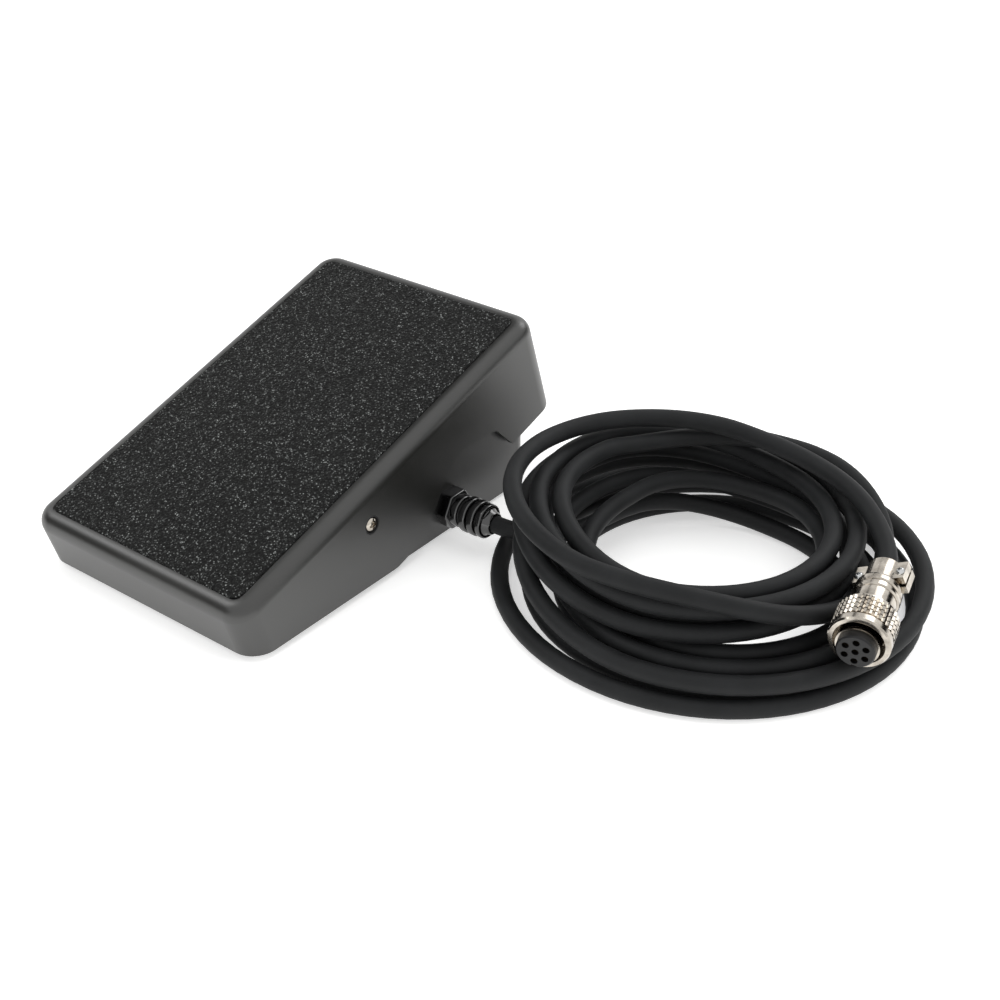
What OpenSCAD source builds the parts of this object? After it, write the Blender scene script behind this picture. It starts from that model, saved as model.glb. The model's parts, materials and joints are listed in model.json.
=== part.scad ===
/* Foot treadle with a potentiometer drive, a start switch and a coiled lead. Millimetres.
   X runs across the foot, Y from the heel to the toe and Z up, from the floor under the feet. */

/* [Treadle cover] */
// Width across the foot
tread_w = 96; // [90:1:110]
// Length of the deck from the heel edge to the toe edge
tread_l = 152.4; // [150:0.2:160]
// Slope of the released deck, in degrees
deck_tilt = 16.9; // [16:0.1:17.5]
// Height of the deck plane at the heel edge
heel_h = 20.8; // [20.4:0.1:22]
// Wall of the moulded skirt
wall = 1.8; // [1.5:0.1:2]
// Thickness of the deck
deck_t = 2.2; // [2:0.1:3]
// Radius of the edge round the deck
edge_r = 5; // [4:0.5:6]
// Radius of the upright corners
corner_r = 8; // [7:0.5:10]
// Draft of the skirt over its whole depth
draft = 0.4; // [0:0.1:0.6]
// Depth of the skirt below the deck at the toe
skirt_d = 38; // [36:0.5:38]
// Height of the skirt's lower edge above the floor at the heel
skirt_lift = 2.4; // [2.2:0.1:4]
// Radius where the lower edge turns up towards the toe
kink_r = 12; // [8:1:16]

/* [Treadle motion] */
// Travel of the treadle, in degrees
travel = 12; // [6:1:12]
// Pivot, measured along the deck from the heel edge
pivot_u = 57.7; // [56:0.1:59]
// Pivot, measured down from the deck plane
pivot_w = 13.9; // [13:0.1:14.5]
// Radial clearance of every turning fit
run_fit = 0.05; // [0.02:0.01:0.09]
// Gap between faces that pass each other
gap = 0.4; // [0.3:0.05:0.6]

/* [Grip pad] */
// Margin of bare deck round the pad
pad_margin = 5.6; // [5:0.1:8]
// Thickness of the pad
pad_t = 1; // [0.8:0.1:1.5]
// Depth of the pad's recess in the deck
pad_recess = 0.4; // [0.2:0.1:0.8]
// Radius of the pad's corners
pad_corner = 3.5; // [2:0.5:6]

/* [Base] */
// Wall of the base tray
base_wall = 2.2; // [1.8:0.1:2.6]
// Thickness of the base floor
floor_t = 2.5; // [2:0.1:3]
// Height of the rubber feet below the base
foot_h = 1.5; // [1:0.1:1.6]
// Diameter of the rubber feet
foot_d = 13; // [10:0.5:16]
// Radius of the base's upright corners
base_corner = 5; // [4:0.5:7]
// Diameter of the return spring at mid-wire
spring_d = 12; // [10:0.5:13]
// Wire of the return spring
wire_d = 1.4; // [1.2:0.1:1.8]
// Coils in the return spring
spring_turns = 9; // [7:1:11]

/* [Potentiometer drive] */
// Gear module
gear_m = 1; // [1:1:1]
// Teeth of the pinion on the potentiometer shaft
pinion_teeth = 10; // [10:1:10]
// Teeth that a full ring of the sector gear would have
ring_teeth = 80; // [80:1:80]
// Direction of the potentiometer shaft from the pivot, in degrees
pot_angle = -5; // [-6:0.5:-4]
// Diameter of the potentiometer's can
pot_d = 16; // [14:0.5:17]
// Diameter of the potentiometer's shaft
shaft_d = 4; // [3.5:0.1:4.2]
// Diameter of the potentiometer's threaded bush
bush_d = 7; // [6.5:0.1:7.5]
// Thickness of the steel bracket
bracket_t = 1.6; // [1.2:0.1:2]

/* [Start switch] */
// Length of the switch body
switch_l = 20; // [20:0.5:22]
// Width of the switch body
switch_w = 6.4; // [6:0.1:7]
// Height of the switch body
switch_h = 10; // [9:0.1:10.4]
// Length of the lever from its pin to the striker
lever_l = 18; // [17:0.5:19]

/* [Lead] */
// Diameter of the lead
cord_d = 6; // [5.5:0.1:6]
// Height of the lead's exit above the floor
exit_h = 11.3; // [11.2:0.1:11.6]
// Radius of the lowest loop at the outside of the pile
pile_r = 70; // [69:0.5:72]
// Radius of the innermost loops
hole_r = 40; // [39:0.5:41]
// Rise from one layer of loops to the next
layer_rise = 7.3; // [7.3:0.1:7.5]

/* [Plug] */
// Diameter of the coupling ring
ring_d = 18.5; // [17.5:0.1:18.5]
// Length of the coupling ring
ring_l = 12; // [10:0.5:13]
// Diameter of the plug's shell
shell_d = 14; // [13.6:0.1:14.4]
// Diameter of the contact insert
insert_d = 11.5; // [11:0.1:11.8]
// Length of the plug from the clamp to the face
plug_l = 37; // [36:0.5:38]
// Contact sockets round the middle one
outer_poles = 6; // [4:1:6]
// Diameter of each contact socket
pole_d = 2.1; // [1.6:0.1:2.3]

/* [Hidden] */

$fn = 96;
eps = 0.01;
past = 1;          // how far a cutter runs past the face it cuts
hull_fn = 32;      // facets of the children of a hull
arc_steps = 6;

// Finishes
black_abs = "#26282b";
grit = "#17181a";
rubber = "#1c1d1f";
steel = "#b8bcc0";
nickel = "#d9dadd";
brass = "#c9a45a";
phenolic = "#5b3a22";
nylon = "#e6e2d6";

// Deck frame: u runs up the deck from the heel edge, w is square to it and positive upwards
ca = cos(deck_tilt);
sa = sin(deck_tilt);
front_y = edge_r * (ca + sa) - edge_r;
back_y = tread_l * ca + skirt_d * sa;
heel_y = -(front_y + back_y) / 2;
function deck_yz(u, w) = [heel_y + u * ca - w * sa, heel_h + u * sa + w * ca];
function deck_w_at(u, z) = (z - heel_h - u * sa) / ca;
module deck_frame() {
    translate([0, heel_y, heel_h]) rotate([deck_tilt, 0, 0]) children();
}

// Pivot of the treadle
pivot = deck_yz(pivot_u, -pivot_w);
pivot_y = pivot[0];
pivot_z = pivot[1];
inner_x = tread_w / 2 - wall;             // inner face of the skirt
base_x = inner_x - gap;                   // outer face of the base
base_top = foot_h + floor_t;              // upper face of the base floor
bushing_d = 6.4;
bushing_bore = 3.2;
screw_head_d = 5.5;
screw_head_h = 1.7;
screw_d = 3;
small_screw_d = 2.5;
screw_fit = 0.05;

// An arc from angle a0 to a1 as points
function arc(c, r, a0, a1, n = arc_steps) =
    [for (i = [0:n]) c + r * [cos(a0 + (a1 - a0) * i / n), sin(a0 + (a1 - a0) * i / n)]];
// Places a piece drawn in the Y-Z plane at x, and gives it a thickness along X
module side_plate(x, t) {
    translate([x, 0, 0]) rotate([90, 0, 90]) linear_extrude(t) children();
}
// A cylinder along +X from x0
module x_rod(x0, y, z, r, l) {
    translate([x0, y, z]) rotate([0, 90, 0]) cylinder(r = r, h = l);
}
module rounded_square(size, r) {
    w = size[0] / 2 - r;
    l = size[1] / 2 - r;
    for (x = [-w, w]) for (y = [-l, l]) translate([x, y]) circle(r);
    square([size[0], size[1] - 2 * r], center = true);
    square([size[0] - 2 * r, size[1]], center = true);
}
// A screw with a domed head and a cross recess, its head's seat at the origin and its shank down
module pan_screw(d, head_d, head_h, l) {
    dome_r = (head_d * head_d / 4 + head_h * head_h) / (2 * head_h);
    slot = [head_d * 0.55, head_d * 0.14];
    difference() {
        union() {
            translate([0, 0, -l]) cylinder(d = d, h = l + eps);
            intersection() {
                cylinder(d = head_d, h = head_h);
                translate([0, 0, head_h - dome_r]) sphere(dome_r);
            }
        }
        for (a = [0, 90]) rotate(a) translate([-slot[0] / 2, -slot[1] / 2, head_h * 0.45])
            cube([slot[0], slot[1], head_h]);
    }
}

// ---- Treadle cover ----
// One corner of the cover: a post with a rounded shoulder at the deck and draft below it
module cover_post(r, shoulder, top, depth, flare) {
    rotate_extrude($fn = hull_fn) polygon(concat(
        [[0, top], [r - shoulder, top]],
        arc([r - shoulder, top - shoulder], shoulder, 90, 0),
        [[r + flare, -depth], [0, -depth]]));
}
module cover_block(inset, top, depth) {
    cx = tread_w / 2 - corner_r;
    hull() for (x = [-cx, cx]) for (u = [corner_r, tread_l - corner_r])
        translate([x, u, 0]) cover_post(corner_r - inset, edge_r - inset, top, depth, draft);
}
// Everything below the skirt's lower edge: level from the heel, then parallel to the deck
module below_skirt() {
    reach = 20;
    kink_u = (skirt_lift - heel_h + skirt_d * ca) / sa;
    cut = kink_r * tan(deck_tilt / 2);
    centre = [kink_u + cut, kink_r - skirt_d];
    side_plate(-tread_w, 2 * tread_w) polygon(concat(
        [[-reach, deck_w_at(-reach, skirt_lift)]],
        arc(centre, kink_r, -90 - deck_tilt, -90),
        [[tread_l + reach, -skirt_d], [tread_l + reach, -skirt_d - reach - skirt_d],
            [-reach, -skirt_d - reach - skirt_d]]));
}
// Cut-out in the right skirt round the lead's exit, as (u, w) corners
relief_y = 20.5;
exit_u = (relief_y - heel_y) / ca - 4.54;
relief_cutout = [[-20.8, -46], [-20.8, -39.2], [-18.8, -34.2], [-6.5, -23.5], [4.1, -20.8],
    [19.8, -26], [21.3, -27], [27.4, -38.3], [27.4, -46]];
cutout_r = 1.4;
module relief_window() {
    side_plate(tread_w / 2 - wall - 2, wall + 6) translate([exit_u, 0]) offset(r = cutout_r)
        offset(delta = -cutout_r) polygon(relief_cutout);
}
rib_t = 1.4;
rib_h = 3;
rib_x = [-36, -13, 13, 36];
rib_u = [30, 72, 112];
rib_start = 16;
rib_end = tread_l - 18.4;
module deck_ribs() {
    for (x = rib_x) translate([x - rib_t / 2, rib_start, -deck_t - rib_h])
        cube([rib_t, rib_end - rib_start, rib_h + eps]);
    for (u = rib_u) translate([rib_x[0], u - rib_t / 2, -deck_t - rib_h])
        cube([rib_x[3] - rib_x[0], rib_t, rib_h + eps]);
}
// Hooks at the toe that stop the treadle against the base's ledges
hook_x = 20;
hook_w = 8;
hook_u = tread_l - 5.4;
hook_t = 2;
hook_drop = 36;
lip_l = 5.5;
lip_t = 2;
module toe_hooks() {
    for (x = [-hook_x, hook_x]) translate([x - hook_w / 2, 0, 0]) {
        translate([0, hook_u, -hook_drop]) cube([hook_w, hook_t, hook_drop - deck_t + eps]);
        translate([0, hook_u - lip_l, -hook_drop]) cube([hook_w, lip_l + eps, lip_t]);
    }
}
// Seat of the return spring under the deck, level when the treadle is released
spring_u = tread_l - 16.4;
spring_y = deck_yz(spring_u, -deck_t)[0];
spring_seat_drop = 4;
spring_top = deck_yz(spring_u, -deck_t)[1] - spring_seat_drop;
spring_boss_d = spring_d + 4;
pin_d = spring_d - wire_d - 1.6;
pin_l = 5;
module spring_seat() {
    difference() {
        translate([0, spring_y, spring_top]) {
            cylinder(d = spring_boss_d, h = spring_seat_drop + 6);
            translate([0, 0, -pin_l]) cylinder(d = pin_d, h = pin_l + eps);
        }
        deck_frame() translate([-tread_w, 0, -deck_t / 2]) cube([2 * tread_w, tread_l, 20]);
    }
}
// Striker rib that works the start switch
switch_x = 20;
striker_w = 3;
striker_l = 3;
lever_pin_y = pivot_y - 3;
lever_pin_z = pivot_z + 1;
lever_t = 0.8;
lever_rise = 2.2;
striker_y = lever_pin_y + lever_l;
striker_z = lever_pin_z + lever_rise + lever_t + gap;
module switch_striker() {
    difference() {
        translate([switch_x - striker_w / 2, striker_y - striker_l / 2, striker_z])
            cube([striker_w, striker_l, 20]);
        deck_frame() translate([-tread_w, 0, -deck_t / 2]) cube([2 * tread_w, tread_l, 20]);
    }
}
// Two bosses that take the sector gear's screws
sector_u = pivot_u + 33;
sector_foot_l = 22;
sector_foot_w = 16;
sector_foot_t = 2.4;
sector_screw_u = 7.5;
boss_h = 4;
module sector_bosses() {
    for (s = [-1, 1]) translate([s * 5.2, sector_u + s * sector_screw_u, -deck_t - boss_h])
        cylinder(d = 5, h = boss_h + eps);
}
module sector_pilot_holes() {
    for (s = [-1, 1]) translate([s * 5.2, sector_u + s * sector_screw_u, -deck_t - boss_h - past])
        cylinder(d = small_screw_d + 2 * screw_fit, h = boss_h + past + 0.6);
}
module treadle_cover() color(black_abs) difference() {
    union() {
        deck_frame() {
            difference() {
                cover_block(0, 0, skirt_d + 2);
                cover_block(wall, -deck_t, skirt_d + 4);
                below_skirt();
                relief_window();
                translate([0, tread_l / 2, -pad_recess]) linear_extrude(past + pad_recess)
                    rounded_square(pad_size + [2 * pad_edge, 2 * pad_edge], pad_corner + pad_edge);
            }
            deck_ribs();
            toe_hooks();
            sector_bosses();
        }
        spring_seat();
        switch_striker();
    }
    x_rod(-tread_w, pivot_y, pivot_z, bushing_d / 2 + run_fit, 2 * tread_w);
    deck_frame() sector_pilot_holes();
}

// ---- Grip pad ----
pad_size = [tread_w - 2 * pad_margin, tread_l - 2 * pad_margin];
pad_edge = 0.15;
pad_bevel = 0.3;
module grip_pad() color(grit) deck_frame() translate([0, tread_l / 2, -pad_recess]) {
    linear_extrude(pad_t - pad_bevel) rounded_square(pad_size, pad_corner);
    translate([0, 0, pad_t - pad_bevel - eps]) linear_extrude(pad_bevel + eps)
        rounded_square(pad_size - [pad_bevel, pad_bevel], pad_corner - pad_bevel / 2);
}

// ---- Gears ----
pinion_r = gear_m * pinion_teeth / 2;
sector_r = gear_m * ring_teeth / 2;
centre_dist = sector_r + pinion_r + 0.1;
pot_y = pivot_y + centre_dist * cos(pot_angle);
pot_z = pivot_z + centre_dist * sin(pot_angle);
pressure_angle = 20;
backlash = 0.14;                      // taken off each flank, measured along the pitch circle
addendum = 0.8 * gear_m;
dedendum = 1.15 * gear_m;
sector_from = pot_angle - 6;
sector_to = pot_angle + travel + 6;
function involute(a) = tan(a) * 180 / PI - a;
// Half the angle that a tooth takes up at radius r
function half_tooth(r, n) = let (rp = gear_m * n / 2, rb = rp * cos(pressure_angle))
    90 / n - backlash / rp * 180 / PI + involute(pressure_angle) - involute(acos(min(1, rb / r)));
module tooth(n) {
    rp = gear_m * n / 2;
    low = max(rp * cos(pressure_angle), rp - dedendum);
    rs = [for (i = [0:4]) low + (rp + addendum - low) * i / 4];
    foot = rp - dedendum - 0.2;
    flank = [for (r = rs) r * [cos(half_tooth(r, n)), sin(half_tooth(r, n))]];
    other = [for (i = [4:-1:0]) [flank[i][0], -flank[i][1]]];
    a = half_tooth(low, n);
    polygon(concat([foot * [cos(a), -sin(a)], foot * [cos(a), sin(a)]], flank, other));
}
sector_t = 4;
sector_rim = 5;
module sector_outline() {
    pitch = 360 / ring_teeth;
    first = ceil((sector_from - pot_angle) / pitch);
    last = floor((sector_to - pot_angle) / pitch);
    for (i = [first:last]) rotate(pot_angle + i * pitch) tooth(ring_teeth);
    polygon(concat(
        arc([0, 0], sector_r - dedendum, pot_angle + (first - 0.5) * pitch,
            pot_angle + (last + 0.5) * pitch, 16),
        arc([0, 0], sector_r - dedendum - sector_rim, pot_angle + (last + 0.5) * pitch,
            pot_angle + (first - 0.5) * pitch, 16)));
}
// Web from the rim up to the foot under the deck, in the pivot's own frame
module sector_web() {
    root = sector_r - dedendum - 0.5;
    foot_z = pivot_w - deck_t - boss_h - sector_foot_t / 2;
    a0 = pot_angle - 4;
    a1 = sector_to;
    du = sector_u - pivot_u;
    function deck_pt(u, w) = [u * ca - w * sa, u * sa + w * ca];
    polygon(concat(
        arc([0, 0], root, a0, a1, 8),
        [deck_pt(du + 10, foot_z), deck_pt(du - 9, foot_z)],
        [(root - sector_rim) * [cos(a0), sin(a0)]]));
}
module sector_gear() color(nylon) {
    translate([0, pivot_y, pivot_z]) side_plate(-sector_t / 2, sector_t) union() {
        sector_outline();
        sector_web();
    }
    deck_frame() difference() {
        translate([-sector_foot_w / 2, sector_u - sector_foot_l / 2,
                -deck_t - boss_h - sector_foot_t])
            cube([sector_foot_w, sector_foot_l, sector_foot_t]);
        for (s = [-1, 1]) translate([s * 5.2, sector_u + s * sector_screw_u,
                -deck_t - boss_h - sector_foot_t - past])
            cylinder(d = small_screw_d + 4 * screw_fit, h = sector_foot_t + 2 * past);
    }
}
module sector_screws() color(steel) deck_frame() for (s = [-1, 1])
    translate([s * 5.2, sector_u + s * sector_screw_u, -deck_t - boss_h - sector_foot_t])
        rotate([180, 0, 0]) pan_screw(small_screw_d, 4.2, 1.3, sector_foot_t + boss_h - 0.2);

// ---- Base ----
base_front = heel_y + 8.5;
base_back = deck_yz(tread_l, 0)[0] - 2.15;
base_len = base_back - base_front;
// Height of the base's top edge, as (y, z) from the pivot
base_edge = [[base_front, pivot_z - 5.4], [pivot_y - 2.2, pivot_z + 9.2],
    [base_back, pivot_z + 16.8]];
module base_profile() side_plate(-tread_w, 2 * tread_w) polygon(concat(
    [[base_front - past, foot_h]], [[base_front - past, base_edge[0][1]]],
    base_edge, [[base_back + past, base_edge[2][1]], [base_back + past, foot_h]]));
module base_block(inset, z0) translate([0, base_front + base_len / 2, z0]) linear_extrude(60)
    rounded_square([2 * base_x - 2 * inset, base_len - 2 * inset], base_corner - inset);
relief_hole_d = 10.2;
pivot_boss_d = 13;
pivot_boss_l = 7;
foot_x = 36;
foot_y = [base_front + 12, base_back - 12];
foot_sink = 1;
bumper_x = 28;
bumper_y = base_back - 21.6;
bumper_post_d = 7;
bumper_cap = 4;
// Underside of the pressed deck above the bumpers, with a small gap left
pressed_tilt = deck_tilt - travel;
bumper_top = pivot_z + (pivot_w - deck_t) / cos(pressed_tilt)
    + (bumper_y - pivot_y - 5) * tan(pressed_tilt) - gap;
ledge_z = deck_yz(hook_u, lip_t - hook_drop)[1] - 0.65;
ledge_t = 2.4;
ledge_out = 3.7;
bracket_x = -6.4;
bracket_w = 18;
bracket_foot = 16;
pot_hole_gap = 0.05;
switch_base_z = lever_pin_z - 1.5 - switch_h;
switch_wall = 2.4;
switch_y0 = lever_pin_y - 3;
clamp_x = 26;
clamp_y = relief_y;
clamp_screw_dy = 7.5;
clamp_seat = exit_h - cord_d / 2;
module base_tray() color(black_abs) difference() {
    union() {
        intersection() {
            difference() {
                base_block(0, foot_h);
                base_block(base_wall, base_top);
            }
            base_profile();
        }
        for (s = [-1, 1]) x_rod(s > 0 ? base_x - pivot_boss_l : -base_x, pivot_y, pivot_z,
            pivot_boss_d / 2, pivot_boss_l);
        for (x = [-hook_x, hook_x]) translate([x - hook_w / 2 - 1, base_back - eps, ledge_z])
            cube([hook_w + 2, ledge_out, ledge_t]);
        for (x = [-bumper_x, bumper_x]) translate([x, bumper_y, base_top - eps])
            cylinder(d = bumper_post_d, h = bumper_top - bumper_cap - base_top);
        translate([0, spring_y, base_top - eps]) cylinder(d = pin_d, h = pin_l);
        for (y = [foot_y[0] + 12, pivot_y + 14]) translate([-base_x + base_wall / 2, y, base_top - eps])
            cube([2 * base_x - base_wall, rib_t, 3]);
        // Pillar under the switch
        translate([switch_x - switch_w / 2, switch_y0 + 1, base_top - eps])
            cube([switch_w, switch_l - 2, switch_base_z - base_top]);
        // Wall that the switch is screwed to
        translate([switch_x + switch_w / 2, switch_y0 + 1, base_top - eps])
            cube([switch_wall, switch_l - 2, switch_hole_z + 2.6 - base_top]);
        // Saddle under the cable
        translate([clamp_x - 5, clamp_y - 10.5, base_top - eps])
            cube([10, 21, clamp_seat + 1.2 - base_top]);
    }
    for (s = [-1, 1]) x_rod(s > 0 ? base_x - pivot_boss_l - past : -base_x - past, pivot_y,
        pivot_z, screw_d / 2 + screw_fit, pivot_boss_l + 2 * past);
    x_rod(base_x - base_wall - past, relief_y, exit_h, relief_hole_d / 2, base_wall + 2 * past);
    // Notch that the spring's seat dips into
    translate([-spring_boss_d / 2 - 1, base_back - base_wall - past, pivot_z + 11.4])
        cube([spring_boss_d + 2, base_wall + 2 * past, 20]);
    for (x = [-foot_x, foot_x]) for (y = foot_y) translate([x, y, foot_h - past])
        cylinder(d = foot_d + 2 * screw_fit, h = foot_sink + past);
    for (s = [-1, 1]) translate([bracket_hole_x, pot_y + s * bracket_hole_dy, foot_h + 0.6])
        cylinder(d = screw_d + 2 * screw_fit, h = floor_t);
    for (s = [-1, 1]) translate([clamp_x, clamp_y + s * clamp_screw_dy, base_top])
        cylinder(d = small_screw_d + 2 * screw_fit, h = clamp_seat);
    x_rod(clamp_x - clamp_l, clamp_y, exit_h, cord_d / 2 + screw_fit, 2 * clamp_l);
    for (s = [0, 1]) x_rod(switch_x, switch_hole_y(s), switch_hole_z,
        small_screw_d / 2 + screw_fit, switch_w / 2 + switch_wall + past);
}
module rubber_feet() color(rubber) for (x = [-foot_x, foot_x]) for (y = foot_y)
    translate([x, y, 0]) {
        cylinder(d1 = foot_d - 1.2, d2 = foot_d, h = 0.6);
        translate([0, 0, 0.6]) cylinder(d = foot_d, h = foot_h + foot_sink - 0.6);
    }
bush_reach = inner_x + wall - base_x + 0.1;
bush_pocket = 1;
module pivot_bushes() color(rubber) for (s = [0, 1]) mirror([s, 0, 0])
    translate([base_x, pivot_y, pivot_z]) rotate([0, 90, 0]) difference() {
        cylinder(d = bushing_d, h = bush_reach);
        translate([0, 0, -past]) cylinder(d = bushing_bore, h = bush_reach + 2 * past);
        translate([0, 0, bush_reach - bush_pocket])
            cylinder(d = screw_head_d + 2 * screw_fit, h = bush_pocket + past);
    }
module pivot_screws() color(nickel) for (s = [0, 1]) mirror([s, 0, 0])
    translate([base_x + bush_reach - bush_pocket, pivot_y, pivot_z]) rotate([0, 90, 0])
        pan_screw(screw_d, screw_head_d, screw_head_h, pivot_boss_l + 0.6);
module travel_bumpers() color(rubber) for (x = [-bumper_x, bumper_x])
    translate([x, bumper_y, bumper_top - bumper_cap]) {
        cylinder(d = bumper_post_d + 2, h = bumper_cap - 1);
        translate([0, 0, bumper_cap - 1]) cylinder(d1 = bumper_post_d + 2, d2 = bumper_post_d, h = 1);
    }

// ---- Potentiometer ----
bracket_hole_x = bracket_x - 0.725 * bracket_foot;
bracket_hole_dy = bracket_w / 3;
bracket_top = pot_z + pot_d / 2 + 3;
bush_len = 4.6;
nut_h = 2;
module pot_bracket() color(steel) difference() {
    union() {
        translate([bracket_x - bracket_t, pot_y - bracket_w / 2, base_top])
            cube([bracket_t, bracket_w, bracket_top - base_top]);
        translate([bracket_x - bracket_foot, pot_y - bracket_w / 2, base_top])
            cube([bracket_foot, bracket_w, bracket_t]);
    }
    x_rod(bracket_x - bracket_t - past, pot_y, pot_z, bush_d / 2 + pot_hole_gap,
        bracket_t + 2 * past);
    for (s = [-1, 1]) translate([bracket_hole_x, pot_y + s * bracket_hole_dy, base_top - past])
        cylinder(d = screw_d + 0.3, h = bracket_t + 2 * past);
    // Window for the wires
    translate([bracket_x - bracket_t - past, pot_y - 6.6, base_top + bracket_t + 2.2])
        cube([bracket_t + 2 * past, 12.9, 4.2]);
    // Notch for the can's locating tab
    translate([bracket_x - bracket_t - past, pot_y - 1.2, pot_z + 6])
        cube([bracket_t + 2 * past, 2.4, 2]);
}
module bracket_screws() color(steel) for (s = [-1, 1])
    translate([bracket_hole_x, pot_y + s * bracket_hole_dy, base_top + bracket_t])
        pan_screw(screw_d, screw_head_d, screw_head_h, bracket_t + floor_t - 0.8);
can_x = bracket_x - bracket_t;
can_l = 9;
module pot_body() color(steel) difference() {
    union() {
        x_rod(can_x - can_l, pot_y, pot_z, pot_d / 2, can_l);
        x_rod(can_x - eps, pot_y, pot_z, bush_d / 2, bush_len);
        translate([can_x - eps, pot_y - 1, pot_z + 6.3]) cube([1.2, 2, 1.4]);
    }
    x_rod(can_x - can_l + 2, pot_y, pot_z, shaft_d / 2 + run_fit, can_l + bush_len);
}
module pot_nut() color(nickel) translate([bracket_x, pot_y, pot_z]) rotate([0, 90, 0])
    difference() {
        cylinder(d = 11, h = nut_h, $fn = 6);
        translate([0, 0, -past]) cylinder(d = bush_d + 2 * screw_fit, h = nut_h + 2 * past);
    }
tag_pitch = 5;
tag_x = can_x - can_l + 3;
module pot_terminals() color(brass) for (i = [-1:1])
    translate([tag_x, pot_y + i * tag_pitch - 0.9, pot_z - pot_d / 2 - 3])
        difference() {
            cube([0.6, 1.8, 3.2 + (i == 0 ? 0 : 2.6)]);
            translate([-past, 0.9, 1]) rotate([0, 90, 0]) cylinder(d = 0.8, h = 3);
        }
shaft_x0 = can_x - can_l + 2.3;
shaft_x1 = 7;
module pot_shaft() color(steel) difference() {
    x_rod(shaft_x0, pot_y, pot_z, shaft_d / 2, shaft_x1 - shaft_x0);
    // Screwdriver slot in the end
    translate([shaft_x1 - 0.8, pot_y - shaft_d, pot_z - 0.4]) cube([1, 2 * shaft_d, 0.8]);
}
pinion_x = -2.6;
pinion_w = 5.2;
hub_d = 7.4;
hub_l = 3.6;
module pinion_gear() color(brass) difference() {
    union() {
        translate([pinion_x, pot_y, pot_z]) rotate([90, 0, 90]) linear_extrude(pinion_w) {
            circle(pinion_r - dedendum);
            for (i = [0:pinion_teeth - 1])
                rotate(180 + pot_angle + (i + 0.5) * 360 / pinion_teeth) tooth(pinion_teeth);
        }
        x_rod(pinion_x + pinion_w - eps, pot_y, pot_z, hub_d / 2, hub_l);
    }
    x_rod(pinion_x - past, pot_y, pot_z, shaft_d / 2 + 0.02, pinion_w + hub_l + 2 * past);
    translate([set_x, pot_y, pot_z]) cylinder(d = set_d + 0.1, h = hub_d);
}
set_d = 2;
set_x = pinion_x + pinion_w + hub_l / 2;
module pinion_set_screw() color(steel) translate([set_x, pot_y, pot_z + shaft_d / 2 + 0.03])
    difference() {
        cylinder(d = set_d, h = 2.2);
        translate([0, 0, 1.4]) cylinder(d = 1, h = 1, $fn = 6);
    }

// ---- Start switch ----
function switch_hole_y(s) = switch_y0 + switch_l * (s == 0 ? 0.26 : 0.74);
switch_hole_z = switch_base_z + 2.6;
ear_t = 1.2;
plunger_y = lever_pin_y + 7;
plunger_d = 2.4;
plunger_z0 = switch_base_z + switch_h - 2.2;
function lever_under(y) = lever_pin_z + lever_rise * (y - lever_pin_y) / lever_l;
module switch_body() color(phenolic) difference() {
    union() {
        translate([switch_x - switch_w / 2, switch_y0, switch_base_z])
            cube([switch_w, switch_l, switch_h]);
        for (s = [-1, 1]) translate([switch_x + (s > 0 ? switch_w / 2 - ear_t : -switch_w / 2),
                lever_pin_y - 2, switch_base_z + switch_h - eps])
            cube([ear_t, 4, 2.9]);
    }
    x_rod(switch_x - switch_w, lever_pin_y, lever_pin_z, lever_pin_d / 2 + 0.02, 2 * switch_w);
    for (s = [0, 1]) x_rod(switch_x - switch_w, switch_hole_y(s), switch_hole_z,
        small_screw_d / 2 + screw_fit, 2 * switch_w);
    translate([switch_x, plunger_y, plunger_z0 - 0.3]) cylinder(d = plunger_d + 2 * run_fit, h = 5);
}
lever_pin_d = 1.2;
module lever_pin() color(steel) x_rod(switch_x - switch_w / 2, lever_pin_y, lever_pin_z,
    lever_pin_d / 2, switch_w);
lever_w = 3.4;
lever_eye_d = 2.2;
module switch_lever() color(steel) difference() {
    union() {
        x_rod(switch_x - lever_w / 2, lever_pin_y, lever_pin_z, lever_eye_d / 2, lever_w);
        side_plate(switch_x - lever_w / 2, lever_w) polygon([for (y = [0.8, lever_l + 2]) each
            [for (k = y > 1 ? [1, 0] : [0, 1])
                [lever_pin_y + y, lever_under(lever_pin_y + y) + k * lever_t]]]);
    }
    x_rod(switch_x - lever_w, lever_pin_y, lever_pin_z, lever_pin_d / 2 + run_fit, 2 * lever_w);
}
plunger_top = lever_under(plunger_y - plunger_d / 2) - 0.3;
module switch_plunger() color(nylon) translate([switch_x, plunger_y, plunger_z0 + 1.6])
    cylinder(d = plunger_d, h = plunger_top - plunger_z0 - 1.6);
module switch_screws() color(steel) for (s = [0, 1])
    translate([switch_x - switch_w / 2, switch_hole_y(s), switch_hole_z]) rotate([0, -90, 0])
        pan_screw(small_screw_d, 4.2, 1.3, switch_w + 1.5);
module switch_terminals() color(brass) for (i = [0:2])
    translate([switch_x - 1.6, switch_y0 + switch_l - eps, switch_base_z + 1.6 + i * 3])
        difference() {
            cube([3.2, 4.5, 0.6]);
            translate([1.6, 3, -past]) cylinder(d = 1.4, h = 3);
        }

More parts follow.
